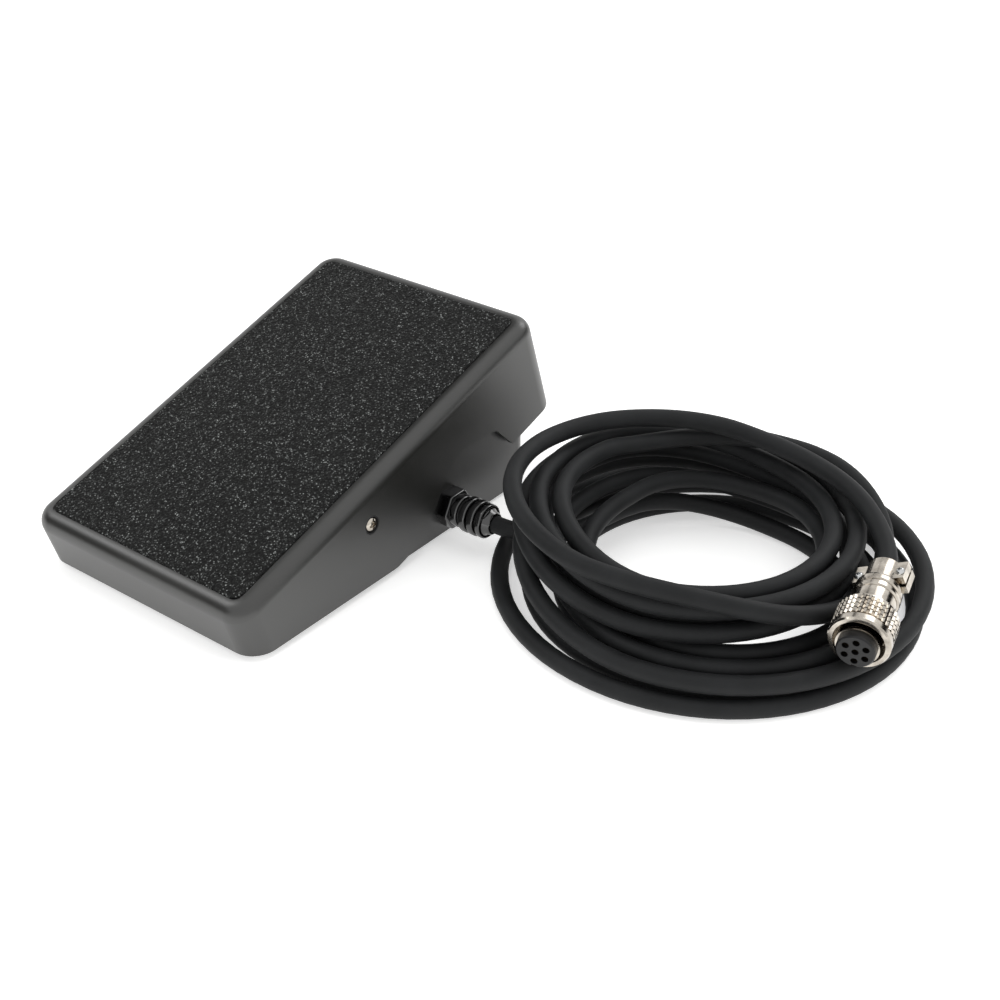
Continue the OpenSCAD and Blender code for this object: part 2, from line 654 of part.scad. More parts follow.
// ---- Return spring ----
// A tube swept along points: rings stay upright, which suits runs that are nowhere vertical
function unit(v) = v / norm(v);
function heading(p, i) = unit(p[min(i + 1, len(p) - 1)] - p[max(i - 1, 0)]);
function ring_at(p, i, r, sides) = let (t = heading(p, i), s = unit(cross(t, [0, 0, 1])),
    v = cross(s, t)) [for (k = [0:sides - 1]) p[i] + r * (cos(360 * (k + 0.5) / sides) * s
    + sin(360 * (k + 0.5) / sides) * v)];
module tube(p, d, sides) {
    n = len(p);
    rings = [for (i = [0:n - 1]) each ring_at(p, i, d / 2, sides)];
    function id(i, k) = i * sides + k % sides;
    walls = [for (i = [0:n - 2]) for (k = [0:sides - 1])
        each [[id(i, k), id(i, k + 1), id(i + 1, k + 1)], [id(i, k), id(i + 1, k + 1), id(i + 1, k)]]];
    first = [for (k = [1:sides - 2]) [0, k + 1, k]];
    last = [for (k = [1:sides - 2]) [id(n - 1, 0), id(n - 1, k), id(n - 1, k + 1)]];
    polyhedron(rings, concat(walls, first, last), convexity = 10);
}
spring_foot = base_top + wire_d / 2 + 0.1;
spring_head = spring_top - wire_d / 2 - 0.1;
spring_rings = 10;
module return_spring() color(steel) {
    n = spring_turns * spring_rings;
    tube([for (i = [0:n]) let (a = 360 * i / spring_rings,
            k = min(1, max(0, (i - spring_rings) / (n - 2 * spring_rings))))
        [spring_d / 2 * cos(a), spring_y + spring_d / 2 * sin(a),
            spring_foot + (spring_head - spring_foot) * k]], wire_d, 6);
}

// ---- Cable entry ----
cable_r = cord_d / 2;
cable_in = 17;                    // inner end of the cable's jacket
cable_out = base_x + 2;           // where the lead takes over inside the gland
gland_bore = cord_d + 0.3;
gland_l = 20.2;
gland_thread = 4.6;
flange_w = 12.6;                  // across the flats
flange_t = 3.6;
// The gland's outline from its outer face of the wall, as (along, radius)
gland_ribs = [6, 10, 14];
gland_rib_t = 2.6;
gland_rib_r = 6.3;
gland_groove_r = 4.7;
module strain_relief() color(black_abs) translate([base_x, relief_y, exit_h])
    rotate([0, 90, 0]) difference() {
        union() {
            translate([0, 0, -base_wall - gland_thread])
                cylinder(d = relief_hole_d - 0.1, h = base_wall + gland_thread + eps);
            rotate(30) cylinder(d = flange_w / cos(30), h = flange_t, $fn = 6);
            cylinder(r = gland_groove_r, h = gland_l - 3);
            translate([0, 0, gland_l - 3 - eps])
                cylinder(r1 = gland_groove_r, r2 = cable_r + 0.9, h = 3);
            for (s = gland_ribs) translate([0, 0, s]) rotate_extrude() polygon([[cable_r, 0],
                [gland_rib_r - 0.4, 0], [gland_rib_r, 0.4], [gland_rib_r, gland_rib_t - 0.4],
                [gland_rib_r - 0.4, gland_rib_t], [cable_r, gland_rib_t]]);
        }
        translate([0, 0, -base_wall - gland_thread - past])
            cylinder(d = gland_bore, h = gland_l + base_wall + gland_thread + 2 * past);
    }
module relief_nut() color(black_abs) translate([base_x - base_wall, relief_y, exit_h])
    rotate([0, -90, 0]) rotate(30) difference() {
        cylinder(d = 13.2 / cos(30), h = 3.4, $fn = 6);
        translate([0, 0, -past]) cylinder(d = relief_hole_d, h = 3.4 + 2 * past);
    }
module inner_cable() color(rubber) x_rod(cable_in, relief_y, exit_h, cable_r, cable_out - cable_in);
clamp_t = 1.8;
clamp_l = 8;
clamp_top = exit_h - 1.6;
module cable_clamp() color(black_abs) difference() {
    union() {
        translate([clamp_x - clamp_l / 2, clamp_y - 10, clamp_top]) cube([clamp_l, 20, clamp_t]);
        x_rod(clamp_x - clamp_l / 2, clamp_y, exit_h, cable_r + clamp_t, clamp_l);
    }
    x_rod(clamp_x - clamp_l, clamp_y, exit_h, cable_r + 0.02, 2 * clamp_l);
    translate([clamp_x - clamp_l, clamp_y - cable_r - 3, clamp_top - 10])
        cube([2 * clamp_l, cord_d + 6, 10]);
    for (s = [-1, 1]) translate([clamp_x, clamp_y + s * clamp_screw_dy, 0])
        cylinder(d = small_screw_d + 2 * screw_fit, h = 40);
}
module cable_clamp_screws() color(steel) for (s = [-1, 1])
    translate([clamp_x, clamp_y + s * clamp_screw_dy, clamp_top + clamp_t])
        pan_screw(small_screw_d, 4.2, 1.3, clamp_t + 4);
// Three single wires fan out from the cable's jacket to the tags
wire_r = 0.6;
wire_ends = [[tag_x + 0.9, pot_y - tag_pitch, pot_z - pot_d / 2 - 2.4],
    [tag_x + 0.9, pot_y, pot_z - pot_d / 2 - 2.4],
    [tag_x + 0.9, pot_y + tag_pitch, pot_z - pot_d / 2 - 2.4]];
module wire_leads() color(brass) for (i = [0:2]) let (a = [cable_in, relief_y + (i - 1) * 1.6, exit_h],
    b = wire_ends[i], c = [a[0] - 8, a[1], a[2] - 1.5 * abs(i - 1)], d = [b[0] + 9, b[1], b[2] - 1])
    tube([for (k = [0:10]) let (t = k / 10, s = 1 - t)
        s * s * s * a + 3 * s * s * t * c + 3 * s * t * t * d + t * t * t * b], 2 * wire_r, 6);

// ---- Lead ----
// Loops spiral out and in at a steady rate and climb a layer where the spiral turns back
pile = [133, 48];
turns = 10;
turn_rings = 24;
start_dir = 165;
lower_turns = 6;                  // turns of the lower pair of layers
upper_pitch = 7.3;
pile_floor = 3.2;                 // height of the lowest loop's middle
climbs = [[3, 0.38], [5.9, 0.45], [7.9, 0.45]];
upper_shift = [-7, -4];           // the upper pair lies a little aside
slump = 2.6;                      // the lower loops' lean towards the near side
slump_dir = [-0.6076, 0.7942];
hump_dir = 185;                   // direction of the crossing over the lead
hump_flat = 20;
hump_ramp = 80;
hump_run = 0.22;                  // the first loop comes down over this part of a turn
function smooth(x) = let (c = min(1, max(0, x))) c * c * (3 - 2 * c);
function sum_of(v, i = 0) = i < len(v) ? v[i] + sum_of(v, i + 1) : 0;
function coil_layer(t) = sum_of([for (c = climbs) smooth((t - c[0]) / c[1])]);
function coil_radius(t) = t < lower_turns
    ? hole_r + (pile_r - hole_r) / (lower_turns / 2) * min(t, lower_turns - t)
    : hole_r + upper_pitch * min(t - lower_turns, turns - t);
function coil_hump(a) = let (d = abs(a - 360 * round((a - hump_dir) / 360) - hump_dir))
    d < hump_flat ? 1 : d < hump_flat + hump_ramp ? (1 + cos(180 * (d - hump_flat) / hump_ramp)) / 2 : 0;
function coil_at(t) = let (
    a = start_dir - 360 * t,
    r = coil_radius(t),
    up = smooth((t - climbs[1][0]) / climbs[1][1]),
    lean = -slump * (lower_turns / 2 - (t < lower_turns ? min(t, lower_turns - t) : 0)) * (1 - up)
        * min(1, t / 0.3),
    layer = coil_layer(t),
    xy = r * [cos(a), sin(a)] + up * upper_shift + lean * slump_dir,
    rise = layer + coil_hump(atan2(xy[1], xy[0])) * min(1, layer / 0.5) + 1 - smooth(t / hump_run))
    [pile[0] + xy[0], pile[1] + xy[1], pile_floor + layer_rise * rise];
coil_path = [for (i = [0:turns * turn_rings]) coil_at(i / turn_rings)];
// Route of the lead from the gland to the first loop
lead_path = concat([[cable_out, relief_y, exit_h], [66, 20.5, 11.3], [72.2, 21.3, 11.1],
    [78, 23.7, 10.7], [83, 27.5, 10.4], [86.8, 32.5, 10.3], [89.4, 39.2, 10.3], [91, 46.3, 10.3],
    [92.6, 53.4, 10.4]], [coil_path[0]]);
// Route of the loose end over the loops to the plug
plug_back = [189.3, 51.5, 26.8];
plug_yaw = -77;
plug_pitch = -7.5;
plug_dir = [cos(plug_yaw) * cos(plug_pitch), sin(plug_yaw) * cos(plug_pitch), sin(plug_pitch)];
plug_seat = 8;                    // how far the lead runs into the plug
tail_path = concat([coil_path[turns * turn_rings]],
    [[93.5, 62.5, 32.6], [99.5, 70.5, 32.7], [106, 78, 32.7], [114, 84, 33], [123, 89, 32.9],
    [132, 91.5, 32.6], [142.5, 93, 32], [153, 92.5, 30.5], [163, 89.5, 27.5], [172.5, 83.5, 23],
    [178.6, 75, 19.3], [182.4, 64.5, 17.1], [183, 52.5, 16.6], [182.8, 40, 17.5], [180.7, 26.5, 21.6],
    [175, 14, 25.9], [165, 3.8, 30.1], [151, -3, 32.1], [135.5, -7.2, 32.6], [119.5, -9.5, 33.6],
    [105, -7.5, 35.6], [92.5, -2, 37.8], [83, 7, 39.4], [77, 19, 40], [75, 32.5, 40],
    [77.5, 46, 40], [83.5, 58, 40], [92.5, 67.5, 40], [103.5, 75, 39.8], [115.5, 80.5, 38.8],
    [127.5, 84, 36.6], [139, 85.6, 34.6], [149, 84.5, 33.5], [158.5, 81.4, 32.9],
    [167.5, 76.8, 32], [175.5, 70.9, 30.6], [182.3, 64, 28.9], [186.6, 57.9, 27.7]],
    [plug_back, plug_back + plug_seat * plug_dir]);
cord_sides = 8;
coil_sides = 6;
// Least distance from a point to the runs of a path that are not its neighbours
function to_run(p, a, b) = let (ab = b - a, t = min(1, max(0, ((p - a) * ab) / (ab * ab))))
    norm(p - a - t * ab);
function least_gap(p, skip) = min([for (i = [0:len(p) - 1]) for (h = [0, 0.5])
    let (q = i + 1 < len(p) ? p[i] * (1 - h) + p[i + 1] * h : p[i])
    for (j = [i + skip:1:len(p) - 2]) to_run(q, p[j], p[j + 1])]) - cord_d;
module cord_lead() color(rubber) tube(lead_path, cord_d, cord_sides);
module cord_coil() color(rubber) {
    echo(least_gap_in_coil = least_gap(coil_path, 8));
    tube(coil_path, cord_d, coil_sides);
}
module cord_tail() color(rubber) {
    echo(least_gap_in_tail = least_gap(tail_path, 6));
    tube(tail_path, cord_d, cord_sides);
}

// ---- Plug ----
plug_roll = 25;
saddle_l = 9;
saddle_r = 5.5;
lug_w = 16;
lug_h = 2.4;
saddle_gap = 0.8;
saddle_screw_x = 6.45;
saddle_screw_s = 4.5;
shell_s0 = 8;
ring_s = 21;
ring_gap = 0.3;
flange_s = 24;
flange_len = 3;
insert_s = flange_s;
pole_ring_r = 3.4;
pole_depth = 7;
knurl_bands = 4;
knurl_notches = 36;
// Local frame: Z runs from the clamp to the contact face
module plug_frame() translate(plug_back) rotate([0, 90 - plug_pitch, plug_yaw])
    rotate(90 + plug_roll) children();
module plug_shell() color(nickel) plug_frame() difference() {
    union() {
        // Lower jaw of the clamp, with its lugs
        intersection() {
            union() {
                cylinder(r = saddle_r, h = shell_s0 + eps);
                translate([-lug_w / 2, -lug_h - saddle_gap / 2, 0])
                    cube([lug_w, lug_h, saddle_l - 1]);
            }
            translate([-lug_w, -lug_w - saddle_gap / 2, 0]) cube([2 * lug_w, lug_w, saddle_l]);
        }
        rotate_extrude() polygon([[cable_r, shell_s0], [shell_d / 2 - 1.6, shell_s0],
            [shell_d / 2 - 0.5, shell_s0 + 0.5], [shell_d / 2, shell_s0 + 1.6],
            [shell_d / 2, shell_s0 + 3], [shell_d / 2 - 0.5, shell_s0 + 3.3],
            [shell_d / 2 - 0.5, shell_s0 + 4.2], [shell_d / 2, shell_s0 + 4.5],
            [shell_d / 2, shell_s0 + 5.7], [shell_d / 2 - 0.5, shell_s0 + 6],
            [shell_d / 2 - 0.5, ring_s - 0.8], [shell_d / 2 - 0.9, ring_s - 0.5],
            [shell_d / 2 - 0.9, flange_s], [shell_d / 2, flange_s],
            [shell_d / 2, flange_s + 1.6], [insert_d / 2 + 0.7, flange_s + 1.6],
            [insert_d / 2 + 0.7, plug_l - 2.5], [cable_r, plug_l - 2.5]]);
    }
    translate([0, 0, -past]) cylinder(d = cord_d + 0.1, h = 18);
    translate([0, 0, shell_s0 + 6]) cylinder(d = insert_d - 1.5, h = plug_l);
    translate([0, 0, insert_s]) cylinder(d = insert_d + 0.1, h = plug_l);
    for (x = [-saddle_screw_x, saddle_screw_x]) translate([x, 0, saddle_screw_s])
        rotate([90, 0, 0]) cylinder(d = 1.7, h = 20);
}
module plug_saddle() color(nickel) plug_frame() difference() {
    intersection() {
        union() {
            cylinder(r = saddle_r, h = shell_s0 - 0.5);
            translate([-lug_w / 2, saddle_gap / 2, 0]) cube([lug_w, lug_h, shell_s0 - 0.5]);
        }
        translate([-lug_w, saddle_gap / 2, 0]) cube([2 * lug_w, lug_w, saddle_l]);
    }
    translate([0, 0, -past]) cylinder(d = cord_d + 0.1, h = 18);
    for (x = [-saddle_screw_x, saddle_screw_x]) translate([x, -past, saddle_screw_s])
        rotate([-90, 0, 0]) cylinder(d = 1.9, h = 20);
}
module saddle_screws() color(steel) plug_frame() for (x = [-saddle_screw_x, saddle_screw_x])
    translate([x, saddle_gap / 2 + lug_h, saddle_screw_s]) rotate([-90, 0, 0])
        pan_screw(1.6, 3, 1.1, saddle_gap + 2 * lug_h + 0.4);
module pole_places() {
    children();
    for (i = [0:outer_poles - 1]) rotate(-plug_roll + 360 * i / outer_poles)
        translate([0, pole_ring_r, 0]) children();
}
module plug_insert() color(grit) plug_frame() difference() {
    union() {
        translate([0, 0, insert_s]) cylinder(d = insert_d, h = plug_l - insert_s - 0.4);
        translate([0, 0, plug_l - 0.4 - eps]) cylinder(d1 = insert_d, d2 = insert_d - 0.8, h = 0.4);
    }
    translate([0, 0, plug_l - pole_depth]) pole_places() cylinder(d = pole_d, h = pole_depth + past);
    // Key slot at the insert's edge
    rotate(-plug_roll) translate([-0.9, -insert_d / 2 - past, plug_l - 4])
        cube([1.8, 1.8, 5]);
}
module plug_contacts() color(brass) plug_frame() translate([0, 0, plug_l - pole_depth]) pole_places()
    difference() {
        cylinder(d = pole_d - 0.04, h = pole_depth - 1.2);
        translate([0, 0, 1]) cylinder(d = pole_d - 0.8, h = pole_depth);
    }
module knurl_section(r) difference() {
    circle(r);
    for (i = [0:knurl_notches - 1]) rotate(360 * i / knurl_notches) translate([r + 0.1, 0])
        rotate(45) square(0.85, center = true);
}
module coupling_ring() color(nickel) plug_frame() translate([0, 0, ring_s]) difference() {
    union() {
        cylinder(d1 = ring_d - 2, d2 = ring_d - 0.8, h = 1.2);
        cylinder(d = ring_d - 1.4, h = ring_l - 1);
        for (i = [0:knurl_bands - 1]) translate([0, 0, 1 + i * 2]) linear_extrude(1.6)
            knurl_section(ring_d / 2);
        translate([0, 0, ring_l - 2.6]) cylinder(d = ring_d, h = 2);
        translate([0, 0, ring_l - 0.6 - eps]) cylinder(d1 = ring_d, d2 = ring_d - 0.8, h = 0.6);
    }
    // Back collar runs on the shell's neck, in front of it the flange has its own pocket
    translate([0, 0, -past]) cylinder(d = shell_d - 1.8 + 2 * run_fit, h = ring_l);
    translate([0, 0, flange_s - ring_s - 0.1]) cylinder(d = shell_d + 2 * ring_gap, h = ring_l);
    translate([0, 0, flange_s - ring_s + 1.8]) cylinder(d = ring_d - 3.2, h = ring_l);
}

treadle_cover();
grip_pad();
sector_gear();
sector_screws();
base_tray();
rubber_feet();
pivot_bushes();
pivot_screws();
travel_bumpers();
pot_bracket();
bracket_screws();
pot_body();
pot_nut();
pot_terminals();
pot_shaft();
pinion_gear();
pinion_set_screw();
switch_body();
switch_screws();
switch_terminals();
switch_plunger();
switch_lever();
lever_pin();
return_spring();
inner_cable();
cable_clamp();
cable_clamp_screws();
wire_leads();
strain_relief();
relief_nut();
cord_lead();
cord_coil();
cord_tail();
plug_shell();
plug_saddle();
saddle_screws();
plug_insert();
plug_contacts();
coupling_ring();
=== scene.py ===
"""Dresses a foot pedal with a coiled cord and a screw-ring plug, on a white studio floor."""

from __future__ import annotations

import json
import logging
import math
from collections.abc import Callable, Iterable, Iterator
from contextlib import contextmanager
from dataclasses import dataclass, field
from enum import Enum

import bmesh
import bpy
from mathutils import Matrix, Vector

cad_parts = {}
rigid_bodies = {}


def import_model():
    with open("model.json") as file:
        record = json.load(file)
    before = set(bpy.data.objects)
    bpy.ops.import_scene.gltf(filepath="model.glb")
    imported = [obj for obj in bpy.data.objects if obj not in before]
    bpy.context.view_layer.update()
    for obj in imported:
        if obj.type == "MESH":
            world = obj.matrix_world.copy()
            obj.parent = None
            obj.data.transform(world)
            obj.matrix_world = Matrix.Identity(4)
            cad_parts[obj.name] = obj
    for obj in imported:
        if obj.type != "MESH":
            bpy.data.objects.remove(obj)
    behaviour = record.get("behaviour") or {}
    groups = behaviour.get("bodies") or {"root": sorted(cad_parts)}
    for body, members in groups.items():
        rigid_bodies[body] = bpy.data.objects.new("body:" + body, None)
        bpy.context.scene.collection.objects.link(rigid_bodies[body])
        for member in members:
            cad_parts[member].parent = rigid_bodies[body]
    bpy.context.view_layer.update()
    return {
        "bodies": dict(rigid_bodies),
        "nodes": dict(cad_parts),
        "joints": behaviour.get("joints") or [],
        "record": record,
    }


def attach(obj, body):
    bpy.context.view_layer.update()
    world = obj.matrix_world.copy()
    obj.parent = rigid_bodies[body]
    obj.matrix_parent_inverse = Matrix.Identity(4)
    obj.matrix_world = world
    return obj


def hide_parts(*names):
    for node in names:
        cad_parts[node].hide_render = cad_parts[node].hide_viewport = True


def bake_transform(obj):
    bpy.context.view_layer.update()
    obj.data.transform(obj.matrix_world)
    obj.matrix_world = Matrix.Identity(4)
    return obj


LOG = logging.getLogger("foot_pedal")
MM = 0.001
# Two lengths in metres that differ by less are the same
SAME = 1e-5
# Corners nearer than this, in metres, are merged
MERGE = 1e-6
Point = tuple[float, float, float]


# ---------------------------------------------------------------- modelling helpers


def linear(code: str) -> tuple[float, float, float, float]:
    """Turns an sRGB hex colour into the linear colour that a shader takes.

    Args:
        code: The colour as "#rrggbb".

    Returns:
        Linear red, green, blue and an alpha of 1.
    """
    parts = [int(code[i : i + 2], 16) / 255 for i in (1, 3, 5)]
    rgb = [c / 12.92 if c <= 0.04045 else ((c + 0.055) / 1.055) ** 2.4 for c in parts]
    return (rgb[0], rgb[1], rgb[2], 1.0)


def deselect() -> None:
    """Clears the selection of objects."""
    bpy.ops.object.select_all(action="DESELECT")


def choose(piece: bpy.types.Object) -> None:
    """Makes a piece the only selected object, and the active one."""
    deselect()
    piece.select_set(True)
    bpy.context.view_layer.objects.active = piece


def new_piece(name: str) -> bpy.types.Object:
    """Names the primitive that was added last and returns it."""
    piece = bpy.context.active_object
    piece.name = name
    piece.data.name = name
    return piece


@contextmanager
def edit_mode(piece: bpy.types.Object) -> Iterator[None]:
    """Opens a piece in edit mode with nothing selected, and closes it again.

    Args:
        piece: The mesh to edit.
    """
    choose(piece)
    bpy.ops.object.mode_set(mode="EDIT")
    bpy.ops.mesh.select_all(action="DESELECT")
    yield
    bpy.ops.object.mode_set(mode="OBJECT")


class Pick(Enum):
    """The element that a selection picks."""

    VERTS = "VERT"
    EDGES = "EDGE"
    FACES = "FACE"


def pick(piece: bpy.types.Object, kind: Pick, test: Callable[..., bool]) -> None:
    """Selects the elements of the mesh in edit mode that pass a test.

    Args:
        piece: The mesh that is in edit mode.
        kind: Whether vertices, edges or faces are tested.
        test: Takes one element and says whether it is selected.
    """
    bpy.ops.mesh.select_mode(type=kind.value)
    bpy.ops.mesh.select_all(action="DESELECT")
    mesh = bmesh.from_edit_mesh(piece.data)
    lists = {Pick.VERTS: mesh.verts, Pick.EDGES: mesh.edges, Pick.FACES: mesh.faces}
    for element in [e for e in lists[kind] if test(e)]:
        element.select_set(True)
    mesh.select_flush_mode()
    bmesh.update_edit_mesh(piece.data)


def near(a: float, b: float) -> bool:
    """Says whether two lengths in metres are the same."""
    return abs(a - b) < SAME


def block(name: str, low: Point, high: Point) -> bpy.types.Object:
    """Adds a block between two corners, with its place in its mesh.

    Args:
        name: The piece's name.
        low: The lowest corner in metres.
        high: The highest corner in metres.

    Returns:
        The new object.
    """
    deselect()
    middle = [(a + b) / 2 for a, b in zip(low, high)]
    bpy.ops.mesh.primitive_cube_add(size=1, location=middle)
    piece = new_piece(name)
    piece.scale = [b - a for a, b in zip(low, high)]
    settle(piece)
    return piece


def settle(piece: bpy.types.Object) -> None:
    """Puts a piece's place, turn and size into its mesh."""
    choose(piece)
    bpy.ops.object.transform_apply(location=True, rotation=True, scale=True)


def finish_modifiers(piece: bpy.types.Object) -> None:
    """Applies every modifier of a piece, first to last."""
    choose(piece)
    for modifier in list(piece.modifiers):
        bpy.ops.object.modifier_apply(modifier=modifier.name)


def rod(name: str, centre: Point, radius: float, length: float, sides: int) -> bpy.types.Object:
    """Adds a rod or prism along X, with its place in its mesh.

    Args:
        name: The piece's name.
        centre: Its middle in metres.
        radius: Its radius in metres, over the corners.
        length: Its length in metres.
        sides: How many faces it has round.

    Returns:
        The new object.
    """
    deselect()
    bpy.ops.mesh.primitive_cylinder_add(
        vertices=sides, radius=radius, depth=length, location=centre, rotation=(0, math.pi / 2, 0)
    )
    piece = new_piece(name)
    settle(piece)
    return piece


class Cut(Enum):
    """What one mesh does to another."""

    DIFFERENCE = "DIFFERENCE"
    UNION = "UNION"
    INTERSECT = "INTERSECT"


def combine(piece: bpy.types.Object, tool: bpy.types.Object, how: Cut) -> None:
    """Joins or cuts a piece with another one and removes the tool.

    Args:
        piece: The mesh that is kept.
        tool: The mesh that acts on it.
        how: What the tool does to the piece.
    """
    cut = piece.modifiers.new("cut", "BOOLEAN")
    cut.operation = how.value
    cut.solver = "EXACT"
    cut.object = tool
    finish_modifiers(piece)
    bpy.data.objects.remove(tool, do_unlink=True)


def smooth(piece: bpy.types.Object, angle: float = 35) -> None:
    """Shades a piece smooth, with sharp edges past an angle in degrees."""
    choose(piece)
    bpy.ops.object.shade_smooth_by_angle(angle=math.radians(angle))


def soften(piece: bpy.types.Object, radius: float, segments: int = 2, angle: float = 40) -> None:
    """Rounds the sharp edges of a piece and keeps its flat faces flat.

    Args:
        piece: The mesh.
        radius: Radius of the rounded edges in metres.
        segments: Steps across each rounded edge.
        angle: Edges sharper than this many degrees are rounded.
    """
    smooth(piece, angle)
    bevel = piece.modifiers.new("edges", "BEVEL")
    bevel.width = radius
    bevel.segments = segments
    bevel.limit_method = "ANGLE"
    bevel.angle_limit = math.radians(angle)
    flat = piece.modifiers.new("flats", "WEIGHTED_NORMAL")
    flat.keep_sharp = True
    finish_modifiers(piece)


def chain(name: str, points: Iterable[Point]) -> bpy.types.Object:
    """Draws a line of edges through points, as the outline of a turned piece.

    Args:
        name: The piece's name.
        points: The outline's corners in metres.

    Returns:
        The new object.
    """
    stops = [Vector(p) for p in points]
    deselect()
    bpy.ops.mesh.primitive_plane_add(size=MM, location=stops[0])
    piece = new_piece(name)
    settle(piece)
    with edit_mode(piece):
        bpy.ops.mesh.select_mode(type="VERT")
        bpy.ops.mesh.select_all(action="SELECT")
        bpy.ops.mesh.merge(type="CENTER")
        for a, b in zip(stops, stops[1:]):
            bpy.ops.mesh.extrude_vertices_move(TRANSFORM_OT_translate={"value": b - a})
    return piece


def turn(piece: bpy.types.Object, centre: Point, axis: Point, steps: int) -> None:
    """Spins an outline a full turn about an axis and closes the seam.

    Args:
        piece: The outline.
        centre: A point on the axis in metres.
        axis: The axis.
        steps: Steps round the turn.
    """
    with edit_mode(piece):
        bpy.ops.mesh.select_all(action="SELECT")
        bpy.ops.mesh.spin(steps=steps, angle=math.tau, center=centre, axis=axis)
        bpy.ops.mesh.select_all(action="SELECT")
        bpy.ops.mesh.remove_doubles(threshold=MERGE)
        bpy.ops.mesh.normals_make_consistent(inside=False)


def merged_copy(node: str, name: str) -> bpy.types.Object:
    """Copies a node of the frame as a mesh of its own, with its triangles joined.

    Args:
        node: The node's name.
        name: The copy's name.

    Returns:
        The new object.
    """
    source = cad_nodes()[node]
    mesh = source.data.copy()
    piece = bpy.data.objects.new(name, mesh)
    bpy.context.scene.collection.objects.link(piece)
    with edit_mode(piece):
        bpy.ops.mesh.select_all(action="SELECT")
        bpy.ops.mesh.remove_doubles(threshold=MERGE)
    return piece


_FRAME: dict = {}


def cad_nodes() -> dict[str, bpy.types.Object]:
    """Returns the frame's nodes by name."""
    return _FRAME["nodes"]


# ---------------------------------------------------------------- finishes


class Tree:
    """A material's node tree, with one way to add a node."""

    def __init__(self, name: str) -> None:
        """Starts a material that has only its Principled shader.

        Args:
            name: The material's name.
        """
        self.material = bpy.data.materials.new(name)
        self.material.use_nodes = True
        self.nodes = self.material.node_tree.nodes
        self.links = self.material.node_tree.links
        self.shader = self.nodes["Principled BSDF"]
        self.output = self.nodes["Material Output"]

    def add(self, kind: str, values: dict | None = None, **settings: object) -> bpy.types.Node:
        """Adds a node.

        Args:
            kind: The node's type name, without ShaderNode.
            values: Input name or number to a value, or to the socket that feeds it.
            **settings: Properties of the node.

        Returns:
            The new node.
        """
        node = self.nodes.new("ShaderNode" + kind)
        for key, value in settings.items():
            setattr(node, key, value)
        for key, value in (values or {}).items():
            if isinstance(value, bpy.types.NodeSocket):
                self.links.new(value, node.inputs[key])
            else:
                node.inputs[key].default_value = value
        return node

    def shade(self, **values: object) -> None:
        """Sets or links the Principled shader's inputs, with _ for a space in a name.

        Args:
            **values: Input name to a value, or to the socket that feeds it.
        """
        for key, value in values.items():
            socket = self.shader.inputs[key.replace("_", " ")]
            if isinstance(value, bpy.types.NodeSocket):
                self.links.new(value, socket)
            else:
                socket.default_value = value

    def ramp(
        self, source: bpy.types.NodeSocket, stops: list[tuple[float, str]]
    ) -> bpy.types.NodeSocket:
        """Adds a colour ramp.

        Args:
            source: The factor's socket.
            stops: Position and sRGB hex colour of each stop.

        Returns:
            The ramp's colour socket.
        """
        node = self.add("ValToRGB", {"Fac": source})
        elements = node.color_ramp.elements
        while len(elements) < len(stops):
            elements.new(0.5)
        for element, (place, code) in zip(elements, stops):
            element.position = place
            element.color = linear(code)
        return node.outputs["Color"]


def per_metre(size_mm: float) -> float:
    """Scale of a texture whose pattern repeats at a size in millimetres."""
    return 1000 / size_mm


@dataclass(frozen=True)
class MouldedAbs:
    """Black ABS, injection moulded in a spark-eroded mould, so it is satin with soft lights."""

    name: str = "moulded_satin_ABS"
    deep: str = "#161614"
    light: str = "#1d1d1b"
    texture_mm: float = 0.35
    flow_mm: float = 45.0
    roughness: float = 0.36
    gloss: float = 0.85

    def build(self) -> bpy.types.Material:
        """Returns the finished material."""
        tree = Tree(self.name)
        place = tree.add("TexCoord").outputs["Object"]
        flow = tree.add(
            "TexNoise", {"Vector": place, "Scale": per_metre(self.flow_mm), "Detail": 3.0}
        )
        skin = tree.add(
            "TexNoise", {"Vector": place, "Scale": per_metre(self.texture_mm), "Detail": 2.0}
        )
        colour = tree.ramp(flow.outputs["Fac"], [(0.3, self.deep), (0.7, self.light)])
        low, high = self.roughness - 0.04, self.roughness + 0.05
        rough = tree.add("MapRange", {"Value": flow.outputs["Fac"], "To Min": low, "To Max": high})
        bump = tree.add(
            "Bump", {"Height": skin.outputs["Fac"], "Strength": 0.16, "Distance": 0.06 * MM}
        )
        tree.shade(
            Base_Color=colour,
            Roughness=rough.outputs["Result"],
            IOR=1.54,
            Specular_IOR_Level=self.gloss,
            Normal=bump.outputs["Normal"],
        )
        return tree.material


